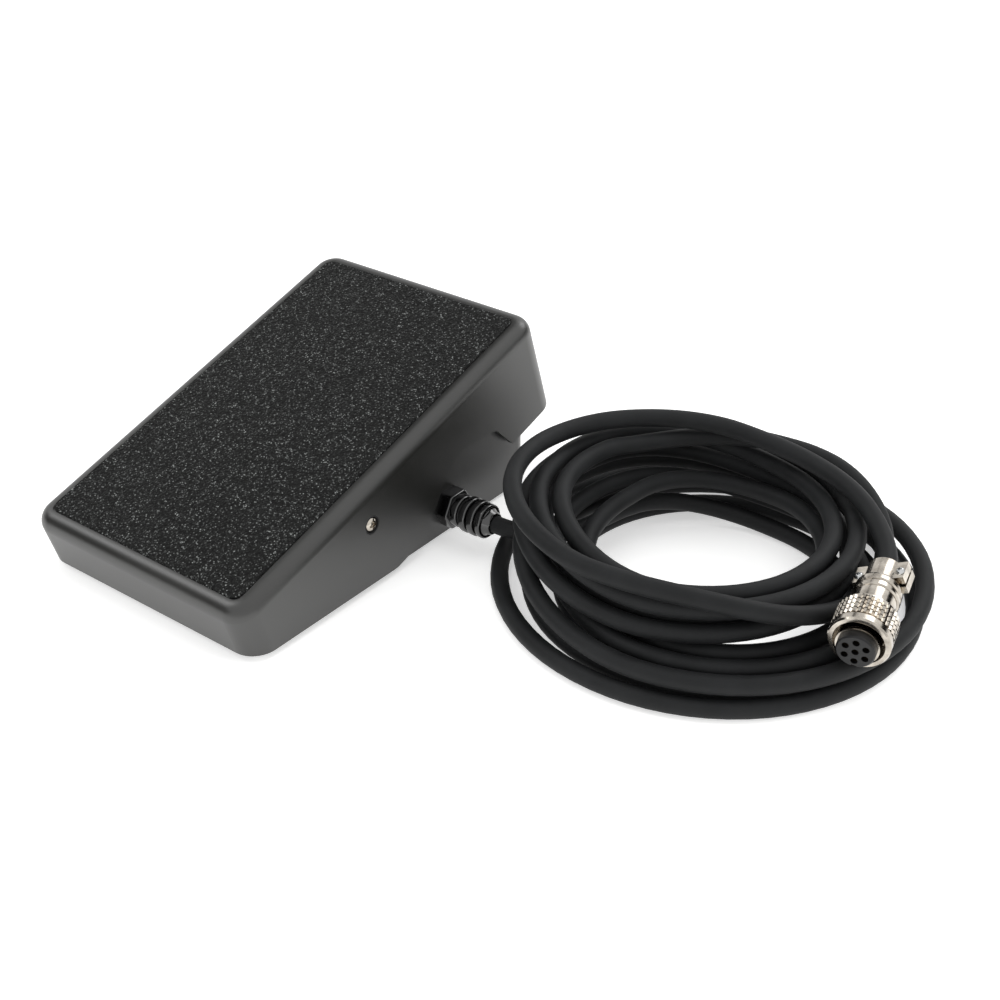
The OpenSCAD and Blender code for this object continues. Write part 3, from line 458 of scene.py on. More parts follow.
@dataclass(frozen=True)
class GritSheet:
    """Black anti-slip sheet of mineral grit in resin: a rough ground, with glints painted on single
    grains as a bright base colour.
    """

    name: str = "mineral_grit_sheet"
    ground: str = "#060606"
    grain: str = "#161716"
    # Bright base colour painted on single grains as a glint
    painted_glint: str = "#b4b8b6"
    grain_mm: float = 0.9
    speck_mm: float = 0.46
    rarity: float = 11.0

    def build(self) -> bpy.types.Material:
        """Returns the finished material."""
        tree = Tree(self.name)
        place = tree.add("TexCoord").outputs["Object"]
        cells = tree.add("TexVoronoi", {"Vector": place, "Scale": per_metre(self.grain_mm)})
        specks = tree.add("TexVoronoi", {"Vector": place, "Scale": per_metre(self.speck_mm)})
        clumps = tree.add("TexNoise", {"Vector": place, "Scale": per_metre(3.5), "Detail": 4.0})
        colour = tree.ramp(cells.outputs["Distance"], [(0.1, self.grain), (0.7, self.ground)])
        # Painted glints: a few grains get a bright base colour as if they caught the light; most
        # stay dull, and the brighter the rarer
        luck = tree.add("SeparateColor", {"Color": specks.outputs["Color"]}).outputs["Red"]
        glint_odds = tree.add("Math", {0: luck, 1: self.rarity}, operation="POWER")
        middle = tree.add(
            "MapRange", {"Value": specks.outputs["Distance"], "From Min": 0.7, "From Max": 0.2}
        )
        patch = tree.add(
            "MapRange",
            {"Value": clumps.outputs["Fac"], "From Min": 0.35, "From Max": 0.65,
             "To Min": 0.35, "To Max": 1.0},
        )
        glint_mask = glint_odds.outputs["Value"]
        for part in (middle.outputs["Result"], patch.outputs["Result"]):
            glint_mask = tree.add("Math", {0: glint_mask, 1: part}, operation="MULTIPLY").outputs["Value"]
        mix = tree.add("Mix", {"Factor": glint_mask}, data_type="RGBA")
        tree.links.new(colour, mix.inputs["A"])
        mix.inputs["B"].default_value = linear(self.painted_glint)
        rough = tree.add("MapRange", {"Value": luck, "To Min": 0.85, "To Max": 0.5})
        height = tree.add(
            "Math", {0: cells.outputs["Distance"], 1: clumps.outputs["Fac"]}, operation="SUBTRACT"
        )
        bump = tree.add(
            "Bump",
            {"Height": height.outputs["Value"], "Strength": 0.9, "Distance": 0.35 * MM},
            invert=True,
        )
        tree.shade(
            Base_Color=mix.outputs["Result"],
            Roughness=rough.outputs["Result"],
            Specular_IOR_Level=0.2,
            Normal=bump.outputs["Normal"],
        )
        return tree.material


@dataclass(frozen=True)
class CordJacket:
    """Soft PVC cord jacket, extruded, so it is dull and faintly dusty with no clear reflections."""

    name: str = "extruded_matt_PVC"
    deep: str = "#131415"
    dusty: str = "#1e1f20"
    patch_mm: float = 14.0
    texture_mm: float = 0.5
    roughness: float = 0.62

    def build(self) -> bpy.types.Material:
        """Returns the finished material."""
        tree = Tree(self.name)
        place = tree.add("TexCoord").outputs["Object"]
        patch = tree.add(
            "TexNoise", {"Vector": place, "Scale": per_metre(self.patch_mm), "Detail": 5.0}
        )
        skin = tree.add(
            "TexNoise", {"Vector": place, "Scale": per_metre(self.texture_mm), "Detail": 2.0}
        )
        colour = tree.ramp(patch.outputs["Fac"], [(0.35, self.deep), (0.7, self.dusty)])
        low, high = self.roughness - 0.05, self.roughness + 0.1
        rough = tree.add("MapRange", {"Value": patch.outputs["Fac"], "To Min": low, "To Max": high})
        bump = tree.add(
            "Bump", {"Height": skin.outputs["Fac"], "Strength": 0.2, "Distance": 0.05 * MM}
        )
        tree.shade(
            Base_Color=colour,
            Roughness=rough.outputs["Result"],
            Specular_IOR_Level=0.28,
            Normal=bump.outputs["Normal"],
        )
        return tree.material


@dataclass(frozen=True)
class PlainPolymer:
    """A moulded polymer in one colour, with a trace of flow marks in its gloss."""

    name: str
    colour: str
    second: str
    roughness: float
    ior: float = 1.5
    gloss: float = 0.5
    texture_mm: float = 0.4
    bump: float = 0.1

    def build(self) -> bpy.types.Material:
        """Returns the finished material."""
        tree = Tree(self.name)
        place = tree.add("TexCoord").outputs["Object"]
        flow = tree.add("TexNoise", {"Vector": place, "Scale": per_metre(9), "Detail": 3.0})
        skin = tree.add("TexNoise", {"Vector": place, "Scale": per_metre(self.texture_mm)})
        colour = tree.ramp(flow.outputs["Fac"], [(0.3, self.colour), (0.7, self.second)])
        low, high = self.roughness - 0.03, self.roughness + 0.05
        rough = tree.add("MapRange", {"Value": flow.outputs["Fac"], "To Min": low, "To Max": high})
        bump = tree.add(
            "Bump", {"Height": skin.outputs["Fac"], "Strength": self.bump, "Distance": 0.04 * MM}
        )
        tree.shade(
            Base_Color=colour,
            Roughness=rough.outputs["Result"],
            IOR=self.ior,
            Specular_IOR_Level=self.gloss,
            Normal=bump.outputs["Normal"],
        )
        return tree.material


@dataclass(frozen=True)
class PlatedMetal:
    """A plated or bare metal whose gloss varies a little with handling."""

    name: str
    colour: str
    worn: str
    roughness: float
    turning_mm: float = 0.25
    bump: float = 0.06

    def build(self) -> bpy.types.Material:
        """Returns the finished material."""
        tree = Tree(self.name)
        place = tree.add("TexCoord").outputs["Object"]
        touch = tree.add("TexNoise", {"Vector": place, "Scale": per_metre(4), "Detail": 4.0})
        skin = tree.add("TexNoise", {"Vector": place, "Scale": per_metre(self.turning_mm)})
        colour = tree.ramp(touch.outputs["Fac"], [(0.3, self.worn), (0.65, self.colour)])
        low, high = self.roughness + 0.08, self.roughness - 0.02
        rough = tree.add("MapRange", {"Value": touch.outputs["Fac"], "To Min": low, "To Max": high})
        bump = tree.add(
            "Bump", {"Height": skin.outputs["Fac"], "Strength": self.bump, "Distance": 0.03 * MM}
        )
        tree.shade(
            Base_Color=colour,
            Metallic=1.0,
            Roughness=rough.outputs["Result"],
            Normal=bump.outputs["Normal"],
        )
        return tree.material


@dataclass(frozen=True)
class StudioPaper:
    """White paper sweep: diffuse, so it keeps the shadow, and lifted to white for the camera."""

    name: str = "white_paper_sweep"
    colour: str = "#f0f0ef"
    lift: float = 0.5

    def build(self) -> bpy.types.Material:
        """Returns the finished material."""
        tree = Tree(self.name)
        path = tree.add("LightPath")
        seen = path.outputs["Is Camera Ray"]
        for ray in ("Is Glossy Ray", "Is Transmission Ray"):
            most = tree.add("Math", {0: seen, 1: path.outputs[ray]}, operation="MAXIMUM")
            seen = most.outputs["Value"]
        lift = tree.add("Math", {0: seen, 1: self.lift}, operation="MULTIPLY")
        paper = tree.add("BsdfDiffuse", {"Color": linear(self.colour)})
        glow = tree.add("Emission", {"Color": (1, 1, 1, 1), "Strength": lift.outputs["Value"]})
        both = tree.add("AddShader", {0: paper.outputs[0], 1: glow.outputs[0]})
        tree.links.new(both.outputs[0], tree.output.inputs["Surface"])
        return tree.material


class Finish(Enum):
    """The finishes of the object, by what they are on."""

    ABS = MouldedAbs()
    GRIT = GritSheet()
    JACKET = CordJacket()
    GLAND = PlainPolymer(
        "glossy_polyamide", "#070708", "#0c0c0d", 0.12, ior=1.53, gloss=1.0, bump=0.03
    )
    FEET = PlainPolymer("moulded_rubber", "#161617", "#1f1f20", 0.7, ior=1.52, bump=0.25)
    PHENOLIC = PlainPolymer("phenolic_moulding", "#3b2417", "#4b2e1d", 0.35, ior=1.6)
    NYLON = PlainPolymer("natural_nylon", "#d9d5c6", "#e5e1d3", 0.4, ior=1.53)
    INSERT = PlainPolymer("black_bakelite", "#0a0a0b", "#111112", 0.38, ior=1.6, gloss=0.3)
    NICKEL = PlatedMetal("bright_nickel_plate", "#c8c1b6", "#958e85", 0.13)
    ZINC = PlatedMetal("zinc_plated_steel", "#cfd0d0", "#a9abac", 0.24)
    BRASS = PlatedMetal("tinned_brass", "#d8c08a", "#b79a5e", 0.25)
    # Bronze of the plug's contacts, darkened as painted shade of the insert's holes they sit in
    SOCKET = PlatedMetal("bronze_painted_hole_shade", "#33291b", "#1a150e", 0.5)


class Palette:
    """Builds each finish once."""

    def __init__(self) -> None:
        """Starts with no material made."""
        self.made: dict[Finish, bpy.types.Material] = {}

    def get(self, finish: Finish) -> bpy.types.Material:
        """Returns the material of a finish, made on first use."""
        if finish not in self.made:
            self.made[finish] = finish.value.build()
        return self.made[finish]

    def dress(self, piece: bpy.types.Object, finish: Finish) -> None:
        """Gives a piece one finish all over."""
        piece.data.materials.clear()
        piece.data.materials.append(self.get(finish))


# ---------------------------------------------------------------- sub-assemblies


@dataclass
class Cord:
    """The free cord: a lead, ten loops in four layers, and a loose end over them to the plug."""

    diameter: float = 6 * MM
    pile: tuple[float, float] = (133, 48)
    turns: int = 10
    rings: int = 72
    start_dir: float = 165
    lower_turns: int = 6
    pile_r: float = 70
    hole_r: float = 40
    upper_pitch: float = 7.3
    rise: float = 7.3
    floor: float = 3.2
    climbs: tuple[tuple[float, float], ...] = ((3, 0.38), (5.9, 0.45), (7.9, 0.45))
    upper_shift: tuple[float, float] = (-7, -4)
    slump: float = 2.6
    slump_dir: tuple[float, float] = (-0.6076, 0.7942)
    hump_dir: float = 185
    hump_flat: float = 20
    hump_ramp: float = 80
    hump_run: float = 0.22
    exit: Point = (47.8, 20.5, 11.3)
    # New points for each span of the lead and of the tail, and the part of a turn that guides them
    lead_steps: int = 3
    tail_steps: int = 5
    lean_part: int = 24
    lead: tuple[Point, ...] = (
        (47.8, 20.5, 11.3), (66, 20.5, 11.3), (72.2, 21.3, 11.1), (78, 23.7, 10.7),
        (83, 27.5, 10.4), (86.8, 32.5, 10.3), (89.4, 39.2, 10.3), (91, 46.3, 10.3),
        (92.6, 53.4, 10.4),
    )
    tail: tuple[Point, ...] = (
        (93.5, 62.5, 32.6), (99.5, 70.5, 32.7), (106, 78, 32.7), (114, 84, 33), (123, 89, 32.9),
        (132, 91.5, 32.6), (142.5, 93, 32), (153, 92.5, 30.5), (163, 89.5, 27.5), (172.5, 83.5, 23),
        (178.6, 75, 19.3), (182.4, 64.5, 17.1), (183, 52.5, 16.6), (182.8, 40, 17.5),
        (180.7, 26.5, 21.6), (175, 14, 25.9), (165, 3.8, 30.1), (151, -3, 32.1),
        (135.5, -7.2, 32.6), (119.5, -9.5, 33.6), (105, -7.5, 35.6), (92.5, -2, 37.8),
        (83, 7, 39.4), (77, 19, 40), (75, 32.5, 40), (77.5, 46, 40), (83.5, 58, 40),
        (92.5, 67.5, 40), (103.5, 75, 39.8),
        (115.5, 80.5, 38.8), (127.5, 84, 36.6), (139, 85.6, 34.6), (149, 84.5, 33.5),
        (158.5, 81.4, 32.9), (167.5, 76.8, 32), (175.5, 70.9, 30.6), (182.3, 64, 28.9),
        (186.6, 57.9, 27.7), (189.3, 51.5, 26.8), (191.084, 43.772, 25.756),
    )

    @staticmethod
    def ease(x: float) -> float:
        """Smooth step from 0 to 1."""
        c = min(1.0, max(0.0, x))
        return c * c * (3 - 2 * c)

    def loop_point(self, t: float) -> Vector:
        """Where the coil is after t turns.

        Args:
            t: Turns from the start of the coil.

        Returns:
            The point in millimetres.
        """
        angle = math.radians(self.start_dir - 360 * t)
        half = self.lower_turns / 2
        low = min(t, self.lower_turns - t) if t < self.lower_turns else 0
        if t < self.lower_turns:
            radius = self.hole_r + (self.pile_r - self.hole_r) / half * low
        else:
            radius = self.hole_r + self.upper_pitch * min(t - self.lower_turns, self.turns - t)
        layer = sum(self.ease((t - a) / w) for a, w in self.climbs)
        up = self.ease((t - self.climbs[1][0]) / self.climbs[1][1])
        lean = -self.slump * (half - low) * (1 - up) * min(1, t / 0.3)
        x = radius * math.cos(angle) + up * self.upper_shift[0] + lean * self.slump_dir[0]
        y = radius * math.sin(angle) + up * self.upper_shift[1] + lean * self.slump_dir[1]
        off = abs((math.degrees(math.atan2(y, x)) - self.hump_dir + 180) % 360 - 180)
        if off < self.hump_flat:
            hump = 1.0
        elif off < self.hump_flat + self.hump_ramp:
            hump = (1 + math.cos(math.pi * (off - self.hump_flat) / self.hump_ramp)) / 2
        else:
            hump = 0.0
        rise = layer + hump * min(1, layer / 0.5) + 1 - self.ease(t / self.hump_run)
        return Vector((self.pile[0] + x, self.pile[1] + y, self.floor + self.rise * rise))

    @staticmethod
    def through(points: list[Vector], steps: int) -> list[Vector]:
        """A smooth line through points.

        Args:
            points: The points that the line passes.
            steps: New points for each span.

        Returns:
            The line's points, without the last given point.
        """
        ends = [points[0] * 2 - points[1], *points, points[-1] * 2 - points[-2]]
        out: list[Vector] = []
        for p0, p1, p2, p3 in zip(ends, ends[1:], ends[2:], ends[3:]):
            for j in range(steps):
                t = j / steps
                out.append(
                    0.5
                    * (
                        p1 * 2
                        + (p2 - p0) * t
                        + (p0 * 2 - p1 * 5 + p2 * 4 - p3) * t * t
                        + (p1 * 3 - p0 - p2 * 3 + p3) * t * t * t
                    )
                )
        return out

    def route(self) -> list[Vector]:
        """The cord's whole centreline in metres, from the gland to the plug."""
        coil = [self.loop_point(i / self.rings) for i in range(self.turns * self.rings + 1)]
        step = self.rings // self.lean_part
        stops = [Vector(p) for p in self.lead] + [coil[0], coil[step]]
        lead = self.through(stops, self.lead_steps)[: self.lead_steps * len(self.lead)]
        ends = [coil[-1 - step], coil[-1]] + [Vector(p) for p in self.tail]
        tail = self.through(ends, self.tail_steps)[self.tail_steps :] + [ends[-1]]
        return [p * MM for p in lead + coil[:-1] + tail]

    def build(self, palette: Palette) -> bpy.types.Object:
        """Args:
            palette: The finishes.

        Returns:
            The cord.
        """
        points = self.route()
        data = bpy.data.curves.new("cord", "CURVE")
        data.dimensions = "3D"
        data.bevel_depth = self.diameter / 2
        data.bevel_resolution = 5
        data.use_fill_caps = True
        data.twist_mode = "MINIMUM"
        line = data.splines.new("POLY")
        line.points.add(len(points) - 1)
        for stop, point in zip(line.points, points):
            stop.co = (*point, 1)
        line.use_smooth = True
        cord = bpy.data.objects.new("cord", data)
        bpy.context.scene.collection.objects.link(cord)
        palette.dress(cord, Finish.JACKET)
        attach(cord, "base")
        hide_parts("cord_lead", "cord_coil", "cord_tail")
        return cord


@dataclass
class Deck:
    """Where the treadle's deck lies: u runs up it from the heel and w is square to it."""

    width: float = 96 * MM
    length: float = 152.4 * MM
    tilt: float = math.radians(16.9)
    heel_h: float = 20.8 * MM
    edge_r: float = 5 * MM
    corner_r: float = 8 * MM
    draft: float = 0.4 * MM
    wall: float = 1.8 * MM
    skirt: float = 38 * MM
    lift: float = 2.4 * MM
    kink_r: float = 12 * MM
    pivot_u: float = 57.7 * MM
    pivot_w: float = -13.9 * MM

    @property
    def heel_y(self) -> float:
        """Y of the heel edge in the row frame."""
        ca, sa = math.cos(self.tilt), math.sin(self.tilt)
        front = self.edge_r * (ca + sa) - self.edge_r
        return -(front + self.length * ca + self.skirt * sa) / 2

    def matrix(self) -> Matrix:
        """Turns deck coordinates (x, u, w) into the row frame."""
        place = Matrix.Translation((0, self.heel_y, self.heel_h))
        return place @ Matrix.Rotation(self.tilt, 4, "X")

    def lay(self, piece: bpy.types.Object) -> None:
        """Moves a piece that was made in deck coordinates to its place."""
        piece.matrix_world = self.matrix()
        settle(piece)


@dataclass
class TreadleShell:
    """The moulded shell of the treadle, with its skirt, recess, cut-out and hinge holes."""

    deck: Deck = field(default_factory=Deck)
    corner_steps: int = 12
    edge_steps: int = 12
    recess_in: float = 0.46 * MM
    recess: float = 0.4 * MM
    recess_wall: float = 0.03 * MM
    kink_steps: int = 7
    hinge_r: float = 3.25 * MM
    hinge_sides: int = 48
    moulded_r: float = 0.3 * MM
    rib_edge_r: float = 0.2 * MM
    exit_u: float = 99.5 * MM
    cutout: tuple[tuple[float, float], ...] = (
        (-20.8, -46), (-20.8, -39.2), (-18.8, -34.2), (-6.5, -23.5), (4.1, -20.8), (19.8, -26),
        (21.3, -27), (27.4, -38.3), (27.4, -46),
    )
    cutout_r: float = 0.7 * MM
    # Corners of the cut-out below this lie past the skirt's edge and stay sharp
    cutout_low: float = -40 * MM
    window_in: float = 3 * MM
    window_out: float = 6 * MM
    # The room under the deck, from its ceiling to below the lowest rib, and its play to the wall
    ceiling: float = -2.15 * MM
    depth: float = -60 * MM
    play: float = 0.4 * MM

    def outer(self) -> bpy.types.Object:
        """Makes the outside skin, open below.

        Returns:
            The skin in deck coordinates.
        """
        d = self.deck
        deep = d.skirt
        shell = block("treadle_shell", (-d.width / 2, 0, -deep), (d.width / 2, d.length, 0))
        with edit_mode(shell):
            pick(shell, Pick.EDGES, lambda e: near(e.verts[0].co.x, e.verts[1].co.x)
                 and near(e.verts[0].co.y, e.verts[1].co.y))
            bpy.ops.mesh.bevel(offset=d.corner_r, segments=self.corner_steps, affect="EDGES")
            pick(shell, Pick.VERTS, lambda v: near(v.co.z, -deep))
            bpy.ops.transform.resize(
                value=(1 + 2 * d.draft / d.width, 1 + 2 * d.draft / d.length, 1),
                center_override=(0, d.length / 2, -deep),
            )
            pick(shell, Pick.EDGES, lambda e: all(near(v.co.z, 0) for v in e.verts))
            bpy.ops.mesh.bevel(offset=d.edge_r, segments=self.edge_steps, affect="EDGES")
            pick(shell, Pick.FACES, lambda f: f.normal.z < -0.9)
            bpy.ops.mesh.delete(type="FACE")
            for point, normal in self.lower_planes():
                bpy.ops.mesh.select_all(action="SELECT")
                bpy.ops.mesh.bisect(
                    plane_co=point, plane_no=normal, clear_inner=True, use_fill=False
                )
            pick(
                shell, Pick.FACES,
                lambda f: f.normal.z > 0.99 and near(f.calc_center_median().z, 0),
            )
            bpy.ops.mesh.inset(thickness=self.recess_in, depth=0)
            bpy.ops.mesh.inset(thickness=self.recess_wall, depth=-self.recess)
        return shell

    def lower_planes(self) -> list[tuple[Point, Point]]:
        """Planes of the skirt's lower edge, level at the heel and rounding into the toe's slope.

        Returns:
            A point and the upward normal of each plane, in deck coordinates.
        """
        d = self.deck
        ca, sa = math.cos(d.tilt), math.sin(d.tilt)
        kink = (d.lift - d.heel_h + d.skirt * ca) / sa
        centre_u = kink + d.kink_r * math.tan(d.tilt / 2)
        centre_w = d.kink_r - d.skirt
        planes = []
        for step in range(self.kink_steps):
            angle = -math.pi / 2 - d.tilt * (1 - step / self.kink_steps)
            normal = (0.0, -math.cos(angle), -math.sin(angle))
            along, down = d.kink_r * math.cos(angle), d.kink_r * math.sin(angle)
            planes.append(((0.0, centre_u + along, centre_w + down), normal))
        return planes

    def window(self) -> bpy.types.Object:
        """Makes the block that cuts the opening round the cord's exit.

        Returns:
            The cutter in deck coordinates.
        """
        d = self.deck
        x0, x1 = d.width / 2 - d.wall - self.window_in, d.width / 2 + self.window_out
        corners = [(x0, self.exit_u + u * MM, w * MM) for u, w in self.cutout]
        cutter = chain("window_cutter", corners)
        with edit_mode(cutter):
            pick(cutter, Pick.VERTS, lambda v: v.co.z > self.cutout_low)
            bpy.ops.mesh.bevel(offset=self.cutout_r, segments=4, affect="VERTICES")
            bpy.ops.mesh.select_all(action="SELECT")
            bpy.ops.mesh.edge_face_add()
            bpy.ops.mesh.select_all(action="SELECT")
            bpy.ops.mesh.extrude_region_move(TRANSFORM_OT_translate={"value": (x1 - x0, 0, 0)})
            bpy.ops.mesh.select_all(action="SELECT")
            bpy.ops.mesh.normals_make_consistent(inside=False)
        return cutter

    def build(self, palette: Palette) -> list[bpy.types.Object]:
        """Makes the shell and what is moulded under it.

        Args:
            palette: The finishes.

        Returns:
            The pieces.
        """
        d = self.deck
        shell = self.outer()
        thick = shell.modifiers.new("wall", "SOLIDIFY")
        thick.thickness = d.wall
        thick.offset = -1
        thick.use_even_offset = True
        finish_modifiers(shell)
        combine(shell, self.window(), Cut.DIFFERENCE)
        hinge = (0, d.pivot_u, d.pivot_w)
        drill = rod("hinge_drill", hinge, self.hinge_r, 2 * d.width, self.hinge_sides)
        combine(shell, drill, Cut.DIFFERENCE)
        soften(shell, self.moulded_r, 3, 38)
        d.lay(shell)
        under = self.underside()
        for piece in (shell, under):
            palette.dress(piece, Finish.ABS)
            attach(piece, "treadle")
        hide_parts("treadle_cover")
        return [shell, under]

    def underside(self) -> bpy.types.Object:
        """Makes the ribs, hooks, bosses and seats below the deck."""
        d = self.deck
        under = merged_copy("treadle_cover", "treadle_underside")
        room = block(
            "underside_room",
            (-d.width / 2 + d.wall + self.play, d.wall + self.play, self.depth),
            (d.width / 2 - d.wall - self.play, d.length - d.wall - self.play, self.ceiling),
        )
        d.lay(room)
        combine(under, room, Cut.INTERSECT)
        soften(under, self.rib_edge_r, 2, 50)
        return under


@dataclass
class GripPad:
    """The grit sheet that lies in the deck's recess."""

    deck: Deck = field(default_factory=Deck)
    margin: float = 5.52 * MM
    thick: float = 1 * MM
    sunk: float = 0.4 * MM
    corner_r: float = 3.5 * MM
    top_r: float = 0.5 * MM

    def build(self, palette: Palette) -> bpy.types.Object:
        """Makes the pad.

        Args:
            palette: The finishes.

        Returns:
            The pad.
        """
        d = self.deck
        pad = block(
            "grit_sheet",
            (-d.width / 2 + self.margin, self.margin, -self.sunk),
            (d.width / 2 - self.margin, d.length - self.margin, self.thick - self.sunk),
        )
        with edit_mode(pad):
            pick(pad, Pick.EDGES, lambda e: abs(e.verts[0].co.z - e.verts[1].co.z) > self.thick / 2)
            bpy.ops.mesh.bevel(offset=self.corner_r, segments=10, affect="EDGES")
            pick(pad, Pick.EDGES, lambda e: all(v.co.z > 0 for v in e.verts))
            bpy.ops.mesh.bevel(offset=self.top_r, segments=4, affect="EDGES")
        smooth(pad, 40)
        d.lay(pad)
        palette.dress(pad, Finish.GRIT)
        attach(pad, "treadle")
        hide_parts("grip_pad")
        return pad


@dataclass
class ToeSpring:
    """The return spring under the toe, copied whole from the frame's spring."""

    place_y: float = 51.7 * MM
    foot_z: float = 4.1 * MM
    head_z: float = 54.1 * MM
    seat: float = 1.5 * MM

    def build(self, palette: Palette) -> bpy.types.Object:
        """Makes the spring.

        Args:
            palette: The finishes.

        Returns:
            The spring.
        """
        spring = merged_copy("return_spring", "toe_spring")
        smooth(spring, 60)
        palette.dress(spring, Finish.ZINC)
        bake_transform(spring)
        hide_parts("return_spring")
        return spring


@dataclass
class Gland:
    """The screwed gland where the cord leaves the tray: thread, hexagon, neck and ribs."""

    axis_y: float = 20.5 * MM
    axis_z: float = 11.3 * MM
    wall_x: float = 45.8 * MM
    bore_r: float = 3.12 * MM
    thread_r: float = 5.05 * MM
    thread_l: float = 6.8 * MM
    hexagon_r: float = 6.25 * MM
    hexagon_l: float = 4.9 * MM
    groove_r: float = 4.8 * MM
    # Start, length and radius of the neck and of each rib
    ribs: tuple[Point, ...] = (
        (4 * MM, 3.7 * MM, 5.7 * MM), (8.9 * MM, 2.7 * MM, 6.25 * MM),
        (12.3 * MM, 2.7 * MM, 6.25 * MM), (15.7 * MM, 2.2 * MM, 6 * MM),
    )
    length: float = 20.2 * MM
    round_r: float = 0.7 * MM
    round_steps: int = 5
    corner_round: float = 0.8 * MM
    face_round: float = 0.6 * MM
    drill_l: float = 40 * MM
    steps: int = 72

    def outline(self) -> list[tuple[float, float]]:
        """The turned part's outline as distance from the wall and radius.

        Returns:
            The corners, from the bore inside the tray to the bore at the tip.
        """
        nick = 0.4 * MM
        out = [(-self.thread_l, self.bore_r), (-self.thread_l, self.thread_r - nick),
               (nick - self.thread_l, self.thread_r), (1 * MM, self.thread_r),
               (1 * MM, self.groove_r)]
        for start, long, radius in self.ribs:
            out.append((start, self.groove_r))
            for centre, first in ((start + self.round_r, 2), (start + long - self.round_r, 1)):
                for step in range(self.round_steps + 1):
                    angle = math.pi / 2 * (first - step / self.round_steps)
                    out.append((centre + self.round_r * math.cos(angle),
                                radius - self.round_r * (1 - math.sin(angle))))
            out.append((start + long, self.groove_r))
        tip = self.length
        return out + [(tip - 1.5 * MM, self.bore_r + 1 * MM), (tip - nick, self.bore_r + 0.8 * MM),
                      (tip, self.bore_r + 0.4 * MM), (tip, self.bore_r)]

    def build(self, palette: Palette) -> bpy.types.Object:
        """Makes the gland.

        Args:
            palette: The finishes.

        Returns:
            The gland.
        """
        places = [(self.wall_x + s, self.axis_y, self.axis_z + r) for s, r in self.outline()]
        sleeve = chain("gland_sleeve", places + places[:1])
        turn(sleeve, (self.wall_x, self.axis_y, self.axis_z), (1, 0, 0), self.steps)
        middle = (self.wall_x + self.hexagon_l / 2, self.axis_y, self.axis_z)
        over_corners = self.hexagon_r / math.cos(math.pi / 6)
        gland = rod("cord_gland", middle, over_corners, self.hexagon_l, 6)
        with edit_mode(gland):
            pick(gland, Pick.EDGES, lambda e: abs(e.verts[0].co.x - e.verts[1].co.x) > 1 * MM)
            bpy.ops.mesh.bevel(offset=self.corner_round, segments=4, affect="EDGES")
            face_x = self.wall_x + self.hexagon_l
            pick(gland, Pick.EDGES, lambda e: all(near(v.co.x, face_x) for v in e.verts))
            bpy.ops.mesh.bevel(offset=self.face_round, segments=4, affect="EDGES")
        # Half way into the sleeve's wall, so that the sleeve fills the hole again
        inside = (self.bore_r + self.thread_r) / 2
        start = (self.wall_x, self.axis_y, self.axis_z)
        drill = rod("gland_drill", start, inside, self.drill_l, self.steps)
        combine(gland, drill, Cut.DIFFERENCE)
        combine(gland, sleeve, Cut.UNION)
        smooth(gland, 40)
        palette.dress(gland, Finish.GLAND)
        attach(gland, "base")
        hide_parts("strain_relief")
        return gland


# What each node of the frame that stays is finished in
NODE_FINISH: dict[Finish, tuple[str, ...]] = {
    Finish.ABS: ("base_tray", "cable_clamp"),
    Finish.GLAND: ("relief_nut",),
    Finish.FEET: ("rubber_feet", "travel_bumpers", "pivot_bushes"),
    Finish.JACKET: ("inner_cable",),
    Finish.NYLON: ("sector_gear", "switch_plunger"),
    Finish.PHENOLIC: ("switch_body",),
    Finish.NICKEL: ("pivot_screws", "pot_nut", "plug_shell", "plug_saddle", "coupling_ring"),
    Finish.ZINC: (
        "sector_screws", "pot_bracket", "bracket_screws", "pot_body", "pot_shaft",
        "pinion_set_screw", "switch_screws", "switch_lever", "lever_pin", "cable_clamp_screws",
        "saddle_screws",
    ),
    Finish.BRASS: ("pot_terminals", "pinion_gear", "switch_terminals", "wire_leads"),
    # The contacts' dark colour is painted shade of the insert's holes
    Finish.SOCKET: ("plug_contacts",),
    Finish.INSERT: ("plug_insert",),
}


